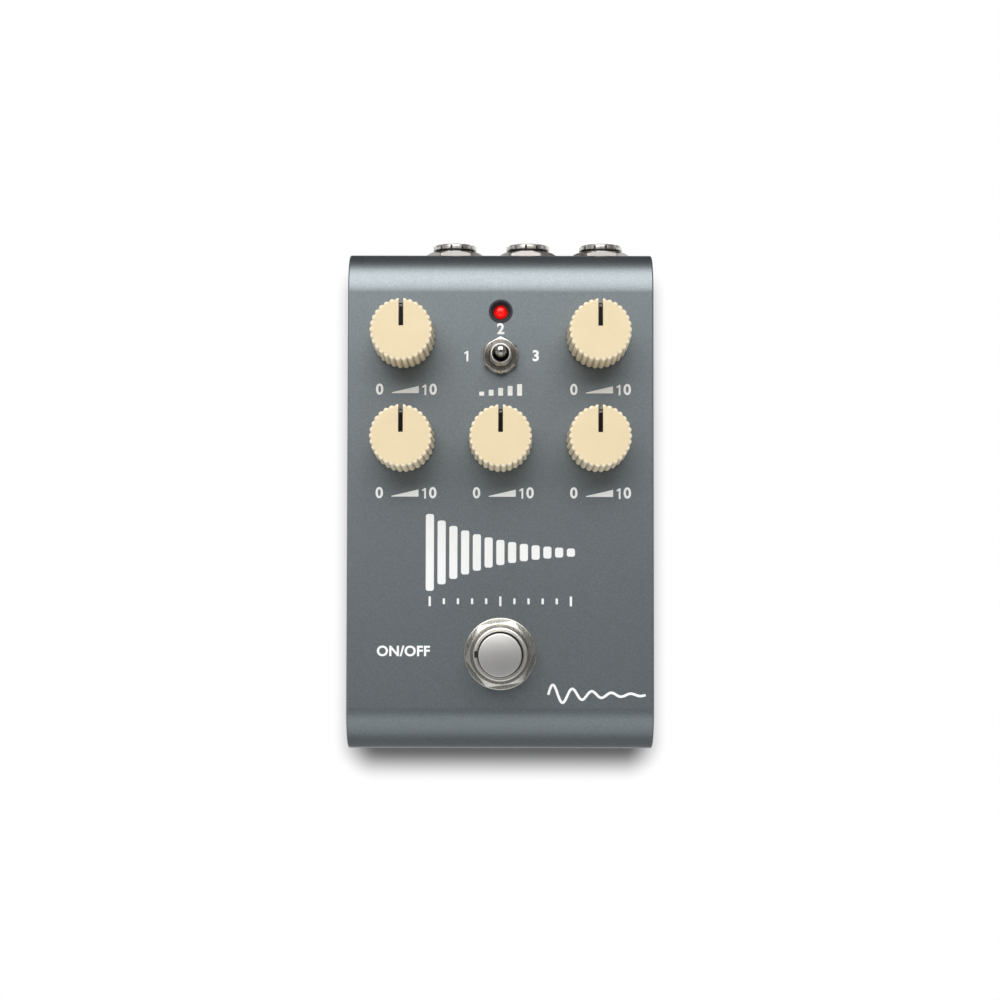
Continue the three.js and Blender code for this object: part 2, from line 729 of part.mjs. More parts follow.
function footswitch() {
  const group = new THREE.Group()
  group.position.set(0, switchY, 0)
  const top = panelTop + switchThreadReach
  const flangeUnder = panelUnder - switchFlangeHeight
  const keyway = block(2 * keywayDepth, keywayWidth, panelTop, top + overrun, -switchThreadRadius)
  const bushing = turned([
    [switchBoreRadius, flangeUnder], [switchFlangeRadius, flangeUnder], [switchFlangeRadius, panelUnder],
    [switchThreadRadius, panelUnder], [switchThreadRadius, top - switchThreadEdge],
    [switchThreadRadius - switchThreadEdge, top], [switchBoreRadius + switchMouthEdge, top],
    [switchBoreRadius, top - switchMouthEdge], [switchBoreRadius, flangeUnder],
  ], wideSides).subtract(keyway)
  group.add(piece('footswitch_bushing', bushing, finish(colours.nickel, 0.25, 1)))

  const bore = switchThreadRadius + threadGap
  const washerTop = panelTop + switchWasherHeight
  const nutTop = washerTop + switchNutHeight
  const nut = hexNut(switchNutAcross, bore, washerTop, nutTop, switchNutChamfer, switchNutTurn, wideSides)
  const washer = tube(switchWasherRadius, bore, panelTop, washerTop, wideSides)
  group.add(piece('footswitch_washer', washer, finish(colours.nickel, 0.25, 1)))
  group.add(piece('footswitch_nut', nut, finish(colours.nickel, 0.25, 1)))

  const baseUnder = flangeUnder - switchBaseHeight
  const baseFloor = baseUnder + switchBaseWall
  const cup = bar(switchBaseRadius, baseUnder, flangeUnder, midSides)
    .subtract(bar(buttonStopRadius + buttonStopClearance, baseFloor, flangeUnder + overrun, midSides))
  group.add(piece('footswitch_base', cup, finish(colours.blackPlastic, 0.6, 0)))

  const stopTop = flangeUnder - buttonStopGap
  const stopUnder = stopTop - buttonStopHeight
  const buttonTop = top + buttonReach
  const edge = Array.from({ length: edgeSteps + 1 }, (_, i) => {
    const angle = (i / edgeSteps) * (Math.PI / 2)
    const inset = buttonEdge * (1 - Math.cos(angle))
    return [buttonRadius - inset, buttonTop - buttonEdge + buttonEdge * Math.sin(angle)]
  })
  const button = turned([
    [0, stopUnder], [buttonStopRadius, stopUnder], [buttonStopRadius, stopTop], [buttonRadius, stopTop],
    ...edge, [0, buttonTop],
  ], wideSides)
  group.add(piece('footswitch_button', button, finish(colours.nickel, 0.35, 1)))

  const spring = tube(springRadius, springRadius - springWire, baseFloor, stopUnder - springGap, slimSides)
  group.add(piece('footswitch_spring', spring, finish(colours.steel, 0.4, 0.9)))
  return group
}

// One audio jack: its axis is +Z in its own group, with zero at the wall's outer face.
function audioJack(name, x, height) {
  const group = new THREE.Group()
  group.position.set(x, halfDepth, height)
  group.rotation.x = -Math.PI / 2
  const boxTop = -shellWall
  const boxEnd = boxTop - jackBodyLength
  const threadEnd = jackNutHeight + jackThreadShow
  const ringEnd = threadEnd + ringHeight
  const spigotEnd = ringEnd - ringLip - threadGap
  const body = block(jackBodyWidth, jackBodyHeight, boxEnd, boxTop)
    .add(bar(jackThreadRadius, boxTop - overrun, threadEnd, midSides))
    .add(bar(ringSpigotRadius, boxTop - overrun, spigotEnd, midSides))
    .subtract(bar(jackBoreRadius, boxEnd + jackEndWall, ringEnd + overrun, midSides))
  group.add(piece(`${name}_body`, body, finish(colours.blackPlastic, 0.5, 0)))

  const bore = jackThreadRadius + threadGap
  const nut = hexNut(jackNutAcross, bore, 0, jackNutHeight, jackNutChamfer, 0, midSides)
    .add(tube(jackFlangeRadius, bore, 0, jackFlangeHeight, midSides))
  group.add(piece(`${name}_nut`, nut, finish(colours.nickel, 0.25, 1)))

  const seat = ringSpigotRadius + threadGap
  const lipUnder = ringEnd - ringLip
  let ring = turned([
    [seat, threadEnd], [ringRadius, threadEnd], [ringRadius, ringEnd - ringEdge],
    [ringRadius - ringEdge, ringEnd], [ringLipRadius, ringEnd], [ringLipRadius, lipUnder],
    [seat, lipUnder], [seat, threadEnd],
  ], midSides)
  for (let i = 0; i < ringNotches; i++) {
    const notch = block(2 * ringNotchDepth, ringNotchWidth, threadEnd - overrun, ringEnd + overrun, ringRadius)
    ring = ring.subtract(notch.rotate([0, 0, (360 * (i + 1 / 2)) / ringNotches]))
  }
  group.add(piece(`${name}_ring`, ring, finish(colours.chrome, 0.15, 1)))
  return group
}

function powerSocket() {
  const group = new THREE.Group()
  group.position.set(powerX, halfDepth, powerHeightUp)
  group.rotation.x = -Math.PI / 2
  const boxTop = -shellWall
  const boreEnd = -faceInset - powerBoreDepth
  const boxEnd = boxTop - powerLength
  const boardSide = -powerAxisDrop + powerHeight / 2
  const socket = block(powerWidth, powerHeight, boxEnd, boxTop, 0, boardSide)
    .add(bar(powerNoseRadius, boxTop - overrun, -faceInset, midSides))
    .subtract(bar(powerBoreRadius, boreEnd, overrun, midSides))
    .add(bar(powerPinRadius, boreEnd - overrun, -faceInset - powerPinInset, slimSides))
  group.add(piece('power_socket', socket, finish(colours.blackPlastic, 0.5, 0)))
  return group
}

function dataPort() {
  const group = new THREE.Group()
  group.position.set(portX, halfDepth, portHeightUp)
  group.rotation.x = -Math.PI / 2
  const mouth = -faceInset
  const roomEnd = mouth - portDepth
  const port = roundedBar(portWidth, portHeight, mouth - portLength, mouth, 0)
    .subtract(roundedBar(portWidth, portHeight, roomEnd, mouth + overrun, portWall))
    .add(block(portTongueWidth, portTongueHeight, roomEnd - overrun, mouth - portTongueInset))
  group.add(piece('data_port', port, finish(colours.steel, 0.3, 0.9)))
  return group
}

function circuitBoards() {
  const group = new THREE.Group()
  const width = 2 * (halfWidth - sideAllowance)
  const front = switchY - boardFrontReach
  const depth = boardRear - front
  const hole = bar(switchBaseRadius + boardSwitchGap, boardUnder - overrun, boardTop + overrun, midSides)
  const main = block(width, depth, boardUnder, boardTop, 0, front + depth / 2)
    .subtract(hole.translate([0, switchY, 0]))
  const lower = block(lowerBoardWidth, lowerBoardDepth, lowerBoardUnder, lowerBoardTop)
    .translate([lowerBoardX, lowerBoardY, 0])
  const headerY = headerRear - headerDepth / 2
  const header = block(headerWidth, headerDepth, lowerBoardTop, boardUnder, lowerBoardX, headerY)
  group.add(piece('main_board', main, finish(colours.board, 0.5, 0)))
  group.add(piece('lower_board', lower, finish(colours.board, 0.5, 0)))
  group.add(piece('board_header', header, finish(colours.blackPlastic, 0.6, 0)))
  return group
}

// The sockets stand out at the rear, so the case sits half of that forward of the origin.
const pedal = new THREE.Group()
pedal.position.y = -jackProud / 2

pedal.add(chassisShell(), baseTray())
for (const { where, x, y } of screwPlaces()) pedal.add(baseScrew(where, x, y))
for (const { where, x, y } of fourCorners(halfWidth - footSideInset, halfDepth - footEndInset)) {
  pedal.add(rubberFoot(where, x, y))
}
for (const { where, x, y } of knobPlaces()) pedal.add(knobControl(where, x, y))
for (const { name, x, height } of jackPlaces) pedal.add(audioJack(name, x, height))
pedal.add(statusLight(), toggleSwitch(), footswitch(), powerSocket(), dataPort(), circuitBoards())

const group = new THREE.Group()
group.add(pedal)

export default group
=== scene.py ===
"""Looks of a compact delay pedal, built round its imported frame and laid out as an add-on.

Run as a script it builds every piece, the stage and the camera. Sizes inside the file are in millimetres
until a mesh is made; the frame and the finished meshes are in metres.
"""

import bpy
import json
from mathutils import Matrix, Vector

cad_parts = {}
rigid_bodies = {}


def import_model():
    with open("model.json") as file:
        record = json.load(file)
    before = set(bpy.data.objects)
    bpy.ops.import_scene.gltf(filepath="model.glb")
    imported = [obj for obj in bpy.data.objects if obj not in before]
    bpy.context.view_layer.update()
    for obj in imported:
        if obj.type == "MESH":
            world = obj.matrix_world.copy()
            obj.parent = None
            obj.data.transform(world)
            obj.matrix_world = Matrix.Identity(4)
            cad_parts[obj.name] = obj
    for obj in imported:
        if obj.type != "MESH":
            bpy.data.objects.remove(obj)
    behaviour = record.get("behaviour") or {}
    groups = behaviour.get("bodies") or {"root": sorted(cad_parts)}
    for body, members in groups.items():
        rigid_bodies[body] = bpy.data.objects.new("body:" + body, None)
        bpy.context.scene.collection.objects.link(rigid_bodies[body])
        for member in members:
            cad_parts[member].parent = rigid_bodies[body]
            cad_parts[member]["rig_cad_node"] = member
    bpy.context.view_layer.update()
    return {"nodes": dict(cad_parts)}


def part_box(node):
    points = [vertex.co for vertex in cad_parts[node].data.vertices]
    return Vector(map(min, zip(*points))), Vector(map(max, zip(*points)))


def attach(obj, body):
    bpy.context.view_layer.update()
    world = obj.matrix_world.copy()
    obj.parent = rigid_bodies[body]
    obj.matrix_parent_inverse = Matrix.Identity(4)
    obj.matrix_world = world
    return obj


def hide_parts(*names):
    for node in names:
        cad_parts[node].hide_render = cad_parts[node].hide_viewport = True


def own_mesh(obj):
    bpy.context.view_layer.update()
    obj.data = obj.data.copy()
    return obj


bl_info = {
    "name": "Delay Pedal",
    "version": (1, 0, 0),
    "blender": (4, 5, 0),
    "location": "3D Viewport > Sidebar > Pedal",
    "description": "Builds the case, controls, sockets and print of a compact delay pedal",
    "category": "Object",
}

import json
import math

import bmesh
import bpy
import numpy as np
from bpy.props import FloatProperty, FloatVectorProperty, IntProperty, PointerProperty
from mathutils import Matrix, Vector

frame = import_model()

MM = 0.001
TAU = 2 * math.pi


def box_of(node):
    """Lowest and highest corner of a CAD node, in millimetres."""
    low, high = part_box(node)
    return np.array(low) / MM, np.array(high) / MM


def middle_of(node):
    """Middle of a CAD node's box, in millimetres."""
    low, high = box_of(node)
    return (low + high) / 2


def top_of(node):
    """Highest point of a CAD node, in millimetres."""
    return box_of(node)[1][2]


CASE_LOW, CASE_HIGH = box_of("chassis_shell")
CASE_MIDDLE = (CASE_LOW + CASE_HIGH) / 2
PANEL_TOP = CASE_HIGH[2]
REAR_FACE = CASE_HIGH[1]
SHEET = 2.0
SCREW_HOLE = 1.6
MERGE_DISTANCE = 1e-7
CONTROLS = ("rear_left", "rear_right", "middle_left", "middle_centre", "middle_right")
JACKS = ("left_jack", "middle_jack", "right_jack", "expression_jack")
CORNERS = ("front_left", "front_right", "rear_left", "rear_right")


def length_property(name, description, metres, precision=4):
    return FloatProperty(name=name, description=description, default=metres, unit="LENGTH",
                         precision=precision)


class PedalSizes(bpy.types.PropertyGroup):
    """Sizes of the pedal that a user may change."""

    wall: length_property("Case wall", "Thickness of the bent case sheet", SHEET * MM)
    end_bend: length_property("End bend", "Outer radius of the front and rear bends", 9.5 * MM)
    edge: length_property("Edge", "Rounding along the two sides of the case sheet", 0.4 * MM)
    knob_height: length_property("Knob height", "Height of a knob",
                                 float(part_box("knob_rear_left")[1][2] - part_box("knob_rear_left")[0][2]))
    flutes: IntProperty(name="Flutes", description="Ridges round a knob", default=30, min=8, max=60)
    flute_depth: length_property("Flute depth", "Depth of the grooves between the ridges", 0.34 * MM, 5)
    print_height: length_property("Print height", "Thickness of the white print", 0.03 * MM, 6)
    key_power: FloatProperty(name="Key light", description="Power of the large soft light",
                             default=18.0, unit="POWER")


def colour_property(name, description, red, green, blue):
    return FloatVectorProperty(name=name, description=description, default=(red, green, blue),
                               subtype="COLOR", size=3, min=0, max=1)


class PedalColours(bpy.types.PropertyGroup):
    """Colours of the pedal's finishes, as linear values."""

    case: colour_property("Case", "Slate coating of the case sheet", 0.168, 0.193, 0.207)
    knob: colour_property("Knobs", "Cream plastic of the knobs", 0.79, 0.665, 0.44)
    pointer: colour_property("Pointers", "Black inlay of the knobs", 0.006, 0.006, 0.005)
    print_white: colour_property("Print", "White print on the panel", 0.94, 0.955, 0.965)
    lamp: colour_property("Lamp", "Red lens of the status light", 0.85, 0.006, 0.004)
    board: colour_property("Boards", "Solder mask of the circuit boards", 0.010, 0.055, 0.030)


def even(count):
    """Equally spaced angles round a full turn, the last one left out."""
    return np.arange(count) * (TAU / count)


def rounded(corners, steps=5, closed=False):
    """An outline with its corners rounded.

    Corners are (x, y, radius). Each is replaced by the arc of that radius that touches both of its sides:
    the tangent points lie radius / tan(half the corner's angle) along the sides, and the arc turns evenly
    between them about its own centre.
    """
    data = np.array(corners, float)
    point, radius = data[:, :2], data[:, 2:3]
    back = np.roll(point, 1, 0) - point
    ahead = np.roll(point, -1, 0) - point
    if not closed:
        back[0], ahead[-1] = -ahead[0], -back[-1]
        radius[[0, -1]] = 0
    back /= np.linalg.norm(back, axis=1, keepdims=True)
    ahead /= np.linalg.norm(ahead, axis=1, keepdims=True)
    half = np.arccos(np.clip((back * ahead).sum(1, keepdims=True), -1, 1)) / 2
    reach = radius / np.tan(np.clip(half, 1e-3, None))
    middle = back + ahead
    middle /= np.clip(np.linalg.norm(middle, axis=1, keepdims=True), 1e-9, None)
    centre = point + middle * radius / np.sin(np.clip(half, 1e-3, None))
    first, last = point + back * reach - centre, point + ahead * reach - centre
    sweep = np.clip(math.pi - 2 * half, 1e-6, None)[:, None]
    share = np.linspace(0, 1, steps + 1)[None, :, None]
    arc = (np.sin((1 - share) * sweep) * first[:, None] + np.sin(share * sweep) * last[:, None]) / np.sin(sweep)
    line = np.where(radius[:, None] > 0, centre[:, None] + arc, point[:, None]).reshape(-1, 2)
    step = np.linalg.norm(np.diff(line, axis=0, prepend=line[-1:] if closed else line[:1] - 1), axis=1)
    return line[step > 1e-6]


def turned(profile, angles, push=None):
    """A profile of (radius, height) turned about +Z: (r cos a, r sin a, z), with r changed by push(r, z, a)."""
    radius, height = np.array(profile, float).T[:, :, None] * np.ones(len(angles))
    angle = np.broadcast_to(angles, radius.shape)
    if push is not None:
        radius = radius + push(radius, height, angle)
    return np.stack([radius * np.cos(angle), radius * np.sin(angle), height], -1)


def thread(low, high, pitch, depth, outside):
    """What a screw thread takes off the radius: depth times a triangle wave of height / pitch less the share
    of a turn, run in over one pitch at both ends, and only where the radius is beyond a given one."""

    def push(radius, height, angle):
        wave = np.abs(((height / pitch - angle / TAU) % 1.0) * 2 - 1)
        run_in = np.clip((height - low) / pitch, 0, 1) * np.clip((high - height) / pitch, 0, 1)
        return -depth * wave * run_in * (radius > outside)

    return push


def thread_rows(radius, low, high, pitch, per_turn=8):
    """Profile points close enough together to carry a thread."""
    count = int(round((high - low) / pitch * per_turn))
    height = np.linspace(low, high, count + 1)
    return np.stack([np.full_like(height, radius), height], -1).tolist()


def hexagon(angle, flats, corner_turn):
    """Radius of a hexagon with slightly worn corners: the distance of its flats divided by the 70-norm of
    the cosines of the angles to its six faces."""
    sharpness = 70
    faces = corner_turn + math.pi / 6 + even(6)[:, None]
    cosines = np.clip(np.cos(np.asarray(angle)[None, :] - faces), 0, 1)
    return flats / (cosines**sharpness).sum(0) ** (1 / sharpness)


def nut_grid(flats, bore, low, high, corner_turn, flange=None, columns=192):
    """A hexagon nut: a bore with eased edges, a flat top out to a circle just inside the flats, a cone that
    falls 30 degrees from there to the hexagon, and the six sides; flange is (radius, height) of its collar."""
    angle = even(columns)
    edge = hexagon(angle, flats, corner_turn)
    rim, ease, slope = 0.97 * flats, 0.12, math.tan(math.radians(30))
    one = np.ones(columns)
    share = np.linspace(0, 1, 5)[1:, None]
    cone = rim + (edge - rim) * share
    rows = [(one * (bore + ease), one * low), (one * bore, one * (low + ease)),
            (one * bore, one * (high - ease)), (one * (bore + ease), one * high), (one * rim, one * high)]
    rows += list(zip(cone, high - (cone - rim) * slope))
    if flange is None:
        rows += list(zip(cone[::-1], low + (cone[::-1] - rim) * slope)) + [(one * rim, one * low)]
    else:
        radius, height = flange
        rows += [(edge, one * (low + height)), (one * (radius - ease), one * (low + height)),
                 (one * radius, one * (low + height - ease)), (one * radius, one * low)]
    radius, height = (np.array(part) for part in zip(*rows))
    return np.stack([radius * np.cos(angle), radius * np.sin(angle), height], -1)


def grid_faces(rows, columns, wrap_rows, wrap_columns):
    """Four-sided faces between neighbouring points of a grid, as rows of four indices."""
    index = np.arange(rows * columns).reshape(rows, columns)
    down = np.roll(index, -1, 0)
    right = np.roll(index, -1, 1)
    both = np.roll(down, -1, 1)
    faces = np.stack([index, right, both, down], -1)
    return faces[: None if wrap_rows else -1, : None if wrap_columns else -1].reshape(-1, 4)


def build_mesh(name, parts):
    """A mesh in metres from parts of (points in millimetres, list of face index lists). Points that coincide
    are merged, so poles and seams close, and every face of a closed shell is turned outward."""
    points, faces, offset = [], [], 0
    for part_points, part_faces in parts:
        flat = np.asarray(part_points, float).reshape(-1, 3)
        points.append(flat)
        faces += [[int(i) + offset for i in face] for face in part_faces]
        offset += len(flat)
    place = np.concatenate(points) * MM
    mesh = bpy.data.meshes.new(name)
    mesh.from_pydata(place.tolist(), [], faces)
    tidy(mesh)
    return mesh


def tidy(mesh):
    """Merges doubles, drops what has no area and turns the faces outward."""
    work = bmesh.new()
    work.from_mesh(mesh)
    bmesh.ops.remove_doubles(work, verts=work.verts, dist=MERGE_DISTANCE)
    bmesh.ops.dissolve_degenerate(work, edges=work.edges, dist=MERGE_DISTANCE)
    loose = [v for v in work.verts if not v.link_faces]
    bmesh.ops.delete(work, geom=loose, context="VERTS")
    bmesh.ops.recalc_face_normals(work, faces=work.faces)
    work.to_mesh(mesh)
    work.free()


def ring_part(points, wrap_rows=False, cap_first=False, cap_last=False):
    """A grid closed round its columns. It may also close from its last row to its first, or be capped."""
    rows, columns = points.shape[:2]
    faces = grid_faces(rows, columns, wrap_rows, True).tolist()
    if cap_first:
        faces.append(list(range(columns)))
    if cap_last:
        faces.append(list(range((rows - 1) * columns, rows * columns)))
    return points, faces


def spun(profile, columns, push=None, **closing):
    """A profile turned about +Z through a full turn of evenly spaced columns, as a part."""
    return ring_part(turned(profile, even(columns), push), **closing)


def round_bar(radius, low, high, columns=64):
    """A round bar along Z, capped at both ends."""
    return spun([(radius, low), (radius, high)], columns, cap_first=True, cap_last=True)


def raised(outline, levels):
    """An outline of (x, y) raised through levels of (height, scale about its middle), capped at both ends."""
    flat = np.asarray(outline, float)
    middle = flat.mean(0)
    rows = [np.column_stack([middle + (flat - middle) * scale, np.full(len(flat), height)])
            for height, scale in levels]
    return ring_part(np.array(rows), cap_first=True, cap_last=True)


def rounded_box(width, depth, low, high, radius, middle=(0, 0), steps=3):
    """A box with all edges rounded: a rounded rectangle whose sides draw in by radius (1 - sin t) while its
    height runs radius (1 - cos t) up from each end."""
    turn = np.linspace(0, math.pi / 2, steps + 1)
    inset = np.concatenate([radius * (1 - np.sin(turn)), (radius * (1 - np.sin(turn)))[::-1]])
    level = np.concatenate([low + radius * (1 - np.cos(turn)), (high - radius * (1 - np.cos(turn)))[::-1]])
    corner, least = 1.6 * radius, 0.05 * radius
    rows = []
    for shrink, height in zip(inset, level):
        x, y, bend = width / 2 - shrink, depth / 2 - shrink, max(corner - shrink, least)
        line = rounded([(x, -y, bend), (x, y, bend), (-x, y, bend), (-x, -y, bend)], steps, closed=True)
        rows.append(np.column_stack([line + middle, np.full(len(line), height)]))
    return ring_part(np.array(rows), cap_first=True, cap_last=True)


def side_prism(outline, width):
    """An outline of (y, z) run across the width, from -width / 2 to width / 2 along X."""
    flat = np.asarray(outline, float)
    ends = [np.column_stack([np.full(len(flat), side * width / 2), flat]) for side in (-1, 1)]
    return ring_part(np.array(ends), cap_first=True, cap_last=True)


def moved(part, x, y):
    points, faces = part
    return np.asarray(points) + (x, y, 0.0), faces


def rearward(part, x, z):
    """Points a part made on +Z out of the rear wall: +Z becomes +Y, and +Y becomes down."""
    points, faces = part
    away, side, drop = points[..., 2], points[..., 0], points[..., 1]
    return np.stack([side + x, away + REAR_FACE, z - drop], -1), faces


def linked(name, data):
    """A new object in the scene's collection."""
    obj = bpy.data.objects.new(name, data)
    bpy.context.scene.collection.objects.link(obj)
    return obj


def shape_with(mesh, cutters, operation="DIFFERENCE"):
    """The mesh cut by, or kept inside, each cutter in turn, as one new mesh."""
    target = linked("work_target", mesh)
    helpers = []
    for number, cutter in enumerate(cutters):
        helper = linked(f"work_cutter_{number}", cutter)
        step = target.modifiers.new(f"cut_{number}", "BOOLEAN")
        step.operation, step.solver, step.object = operation, "EXACT", helper
        helpers.append(helper)
    result = evaluated(target, mesh.name)
    for helper in [*helpers, target]:
        bpy.data.objects.remove(helper)
    tidy(result)
    return result


def evaluated(obj, name):
    """A new mesh of an object with its modifiers applied."""
    bpy.context.view_layer.update()
    graph = bpy.context.evaluated_depsgraph_get()
    result = bpy.data.meshes.new_from_object(obj.evaluated_get(graph), depsgraph=graph)
    result.name = name
    return result


def shade(mesh, sharp_degrees=32):
    """Smooth shading, with the edges that turn by more than an angle kept sharp."""
    mesh.polygons.foreach_set("use_smooth", np.ones(len(mesh.polygons), bool))
    mesh.set_sharp_from_angle(angle=math.radians(sharp_degrees))


def add_piece(name, shape, finish, slot, stands_for=(), body="chassis", bevel=0.0, sharp_degrees=32,
              weighted=False):
    """Puts a piece in the scene, from a mesh or a list of parts: its finish, its slot in the record, which is
    not used, the CAD nodes it stands for and the body it rides on. A bevel in millimetres breaks its sharp
    edges."""
    mesh = build_mesh(name, shape) if isinstance(shape, list) else shape
    material = material_named(finish)
    old = bpy.data.objects.get(name)
    if old is not None and "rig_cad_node" not in old:
        bpy.data.objects.remove(old)
    obj = linked(name, mesh)
    mesh.materials.clear()
    mesh.materials.append(material)
    shade(mesh, sharp_degrees)
    if bevel:
        ease = obj.modifiers.new("broken_edges", "BEVEL")
        ease.width, ease.segments, ease.limit_method = bevel * MM, 2, "ANGLE"
        ease.angle_limit, ease.harden_normals = math.radians(sharp_degrees), True
    if bevel or weighted:
        flatten = obj.modifiers.new("flat_faces", "WEIGHTED_NORMAL")
        flatten.keep_sharp, flatten.weight = True, 50
    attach(obj, body)
    if stands_for:
        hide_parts(*stands_for)
    return obj


def add_copy(name, mesh, node, finish, slot, at=None, **more):
    """Adds a copy of a mesh made round the origin, moved to the middle of its CAD node or of another one."""
    x, y, _ = middle_of(at or node)
    copy = mesh.copy()
    copy.name = name
    copy.transform(Matrix.Translation(Vector((x, y, 0.0)) * MM))
    add_piece(name, copy, finish, slot, [node], **more)


class Wiring:
    """Short ways to add nodes to a node tree."""

    def __init__(self, tree):
        self.nodes, self.links = tree.nodes, tree.links

    def joined(self, kind, **inputs):
        """A new node with its named sockets set to values or joined to other sockets."""
        node = self.nodes.new(kind)
        for name, value in inputs.items():
            self.fed(node.inputs[name.replace("_", " ")], value)
        return node

    def fed(self, socket, value):
        """Joins a socket to another one, or sets it to a value."""
        if isinstance(value, bpy.types.NodeSocket):
            self.links.new(value, socket)
        else:
            socket.default_value = value

    def mapped(self, value, low, high, to_low, to_high, kind="LINEAR"):
        node = self.nodes.new("ShaderNodeMapRange")
        node.interpolation_type = kind
        for name, number in (("Value", value), ("From Min", low), ("From Max", high), ("To Min", to_low),
                             ("To Max", to_high)):
            self.fed(node.inputs[name], number)
        return node.outputs["Result"]

    def maths(self, first, second, operation="ADD"):
        """The result of a Math node, which adds unless another operation is named."""
        node = self.nodes.new("ShaderNodeMath")
        node.operation = operation
        self.fed(node.inputs[0], first)
        self.fed(node.inputs[1], second)
        return node.outputs["Value"]

    def blended(self, share, first, second):
        """A value between two others."""
        return self.joined("ShaderNodeMix", Factor=share, A=first, B=second).outputs["Result"]


class Finish(Wiring):
    """One material: a Principled shader whose colour, roughness and surface vary over Object coordinates."""

    def __init__(self, name, colour, roughness, metallic=0.0, **sockets):
        old = bpy.data.materials.get(name)
        if old is not None:
            bpy.data.materials.remove(old)
        self.material = bpy.data.materials.new(name)
        self.material.use_nodes = True
        super().__init__(self.material.node_tree)
        self.shader = self.nodes["Principled BSDF"]
        self.colour = tuple(colour)
        self.shader.inputs["Base Color"].default_value = (*self.colour, 1)
        self.shader.inputs["Roughness"].default_value = roughness
        self.shader.inputs["Metallic"].default_value = metallic
        for socket, value in sockets.items():
            self.shader.inputs[socket.replace("_", " ")].default_value = value
        self.place = self.nodes.new("ShaderNodeTexCoord").outputs["Object"]
        self.bump = None

    def axes(self):
        """The X, Y and Z of Object coordinates."""
        return self.joined("ShaderNodeSeparateXYZ", Vector=self.place).outputs

    def noise(self, per_mm, detail=4.0, stretch=None):
        """Noise with about this many features in a millimetre."""
        place = self.place
        if stretch is not None:
            place = self.joined("ShaderNodeMapping", Vector=place, Scale=stretch).outputs["Vector"]
        node = self.joined("ShaderNodeTexNoise", Vector=place, Scale=per_mm / MM, Detail=detail,
                           Roughness=0.55)
        return node.outputs["Fac"]

    def cells(self, per_mm):
        """A random value for each small cell."""
        node = self.joined("ShaderNodeTexVoronoi", Vector=self.place, Scale=per_mm / MM)
        return self.joined("ShaderNodeSeparateColor", Color=node.outputs["Color"]).outputs["Red"]

    def tint(self, share, colour, over=None):
        """Mixes a colour over what the shader has so far, by a share from 0 to 1."""
        mix = self.nodes.new("ShaderNodeMix")
        mix.data_type = "RGBA"
        base = self.shader.inputs["Base Color"]
        mix.inputs[6].default_value = (*self.colour, 1)
        if base.is_linked:
            self.links.new(base.links[0].from_socket, mix.inputs[6])
        mix.inputs[7].default_value = (*colour, 1)
        self.links.new(share, mix.inputs[0])
        self.links.new(mix.outputs[2], base)
        return self

    def mottled(self, value, low, high, darker, lighter):
        """Colour that runs between two multiples of the base colour."""
        self.tint(self.mapped(value, low, high, 0, 1), [min(c * lighter, 1) for c in self.colour])
        self.tint(self.mapped(value, high, low, 0, 0.6), [c * darker for c in self.colour])
        return self

    def rough(self, value, low, high, smooth, coarse):
        self.links.new(self.mapped(value, low, high, smooth, coarse), self.shader.inputs["Roughness"])
        return self

    def bumped(self, value, depth_mm, strength=1.0):
        """Adds a relief of a depth in millimetres to the surface."""
        node = self.joined("ShaderNodeBump", Height=value, Strength=strength, Distance=depth_mm * MM)
        if self.bump is not None:
            self.links.new(self.bump, node.inputs["Normal"])
        self.bump = node.outputs["Normal"]
        self.links.new(self.bump, self.shader.inputs["Normal"])
        return self


def coordinate(finish, axis, centre_mm=0.0):
    """Distance along one axis from a place, in metres, without its sign."""
    shifted = finish.maths(finish.axes()[axis], -centre_mm * MM)
    return finish.maths(shifted, 0.0, "ABSOLUTE")


def case_coating(name, colour):
    """Slate metallic coating: fine bright and dark flakes, a faint cloudiness, and the side edges lighter,
    partly worn paint and partly a painted highlight.
    """
    look = Finish(name, colour, 0.39, 0.92, Coat_Weight=0.25, Coat_Roughness=0.3)
    flakes = look.cells(5.2)
    cloud = look.noise(0.05, 3)
    look.mottled(flakes, 0.1, 0.95, 0.90, 1.16)
    look.tint(look.mapped(cloud, 0.35, 0.7, 0, 0.10), [c * 1.25 for c in colour])
    # Lighter along the rounded side edges, in patches: partly worn paint, partly a painted highlight.
    worn_edge_and_sheen = look.mapped(coordinate(look, "X"), (CASE_HIGH[0] - 0.42) * MM, (CASE_HIGH[0] - 0.02) * MM, 0, 0.55)
    patchy_wear_and_sheen = look.maths(worn_edge_and_sheen, look.mapped(look.noise(0.6, 3), 0.3, 0.7, 0.5, 1.0), "MULTIPLY")
    look.tint(patchy_wear_and_sheen, (0.30, 0.33, 0.34))
    look.rough(look.noise(2.4, 3), 0.3, 0.7, 0.36, 0.42)
    look.bumped(flakes, 0.006, 0.3).bumped(look.noise(1.6, 4), 0.008, 0.35)
    return look.material


def plated(name, colour, roughness, scratch=1.0, turned_about=None):
    """Nickel or chrome plate: faint haze, hairline scratches and tiny dull spots. A piece faced on a lathe
    about an upright axis at (x, y) mirrors in a bow tie: its gloss is drawn out along the radius."""
    look = Finish(name, colour, roughness, 1.0)
    if turned_about is not None:
        look.shader.inputs["Anisotropic"].default_value = 0.85
        parts = look.axes()
        x, y = (look.maths(parts[axis], -float(centre) * MM) for axis, centre in zip("XY", turned_about))
        radial = look.joined("ShaderNodeCombineXYZ", X=x, Y=y).outputs["Vector"]
        look.links.new(radial, look.shader.inputs["Tangent"])
    haze = look.noise(0.35, 4)
    look.mottled(haze, 0.35, 0.75, 0.88, 1.05)
    hairs = look.noise(1.2, 6, stretch=(9, 0.5, 3))
    look.rough(hairs, 0.35, 0.75, roughness * 0.8, roughness * 1.4)
    look.bumped(hairs, 0.0012 * scratch, 0.5).bumped(look.noise(0.9, 3), 0.002 * scratch, 0.5)
    return look.material


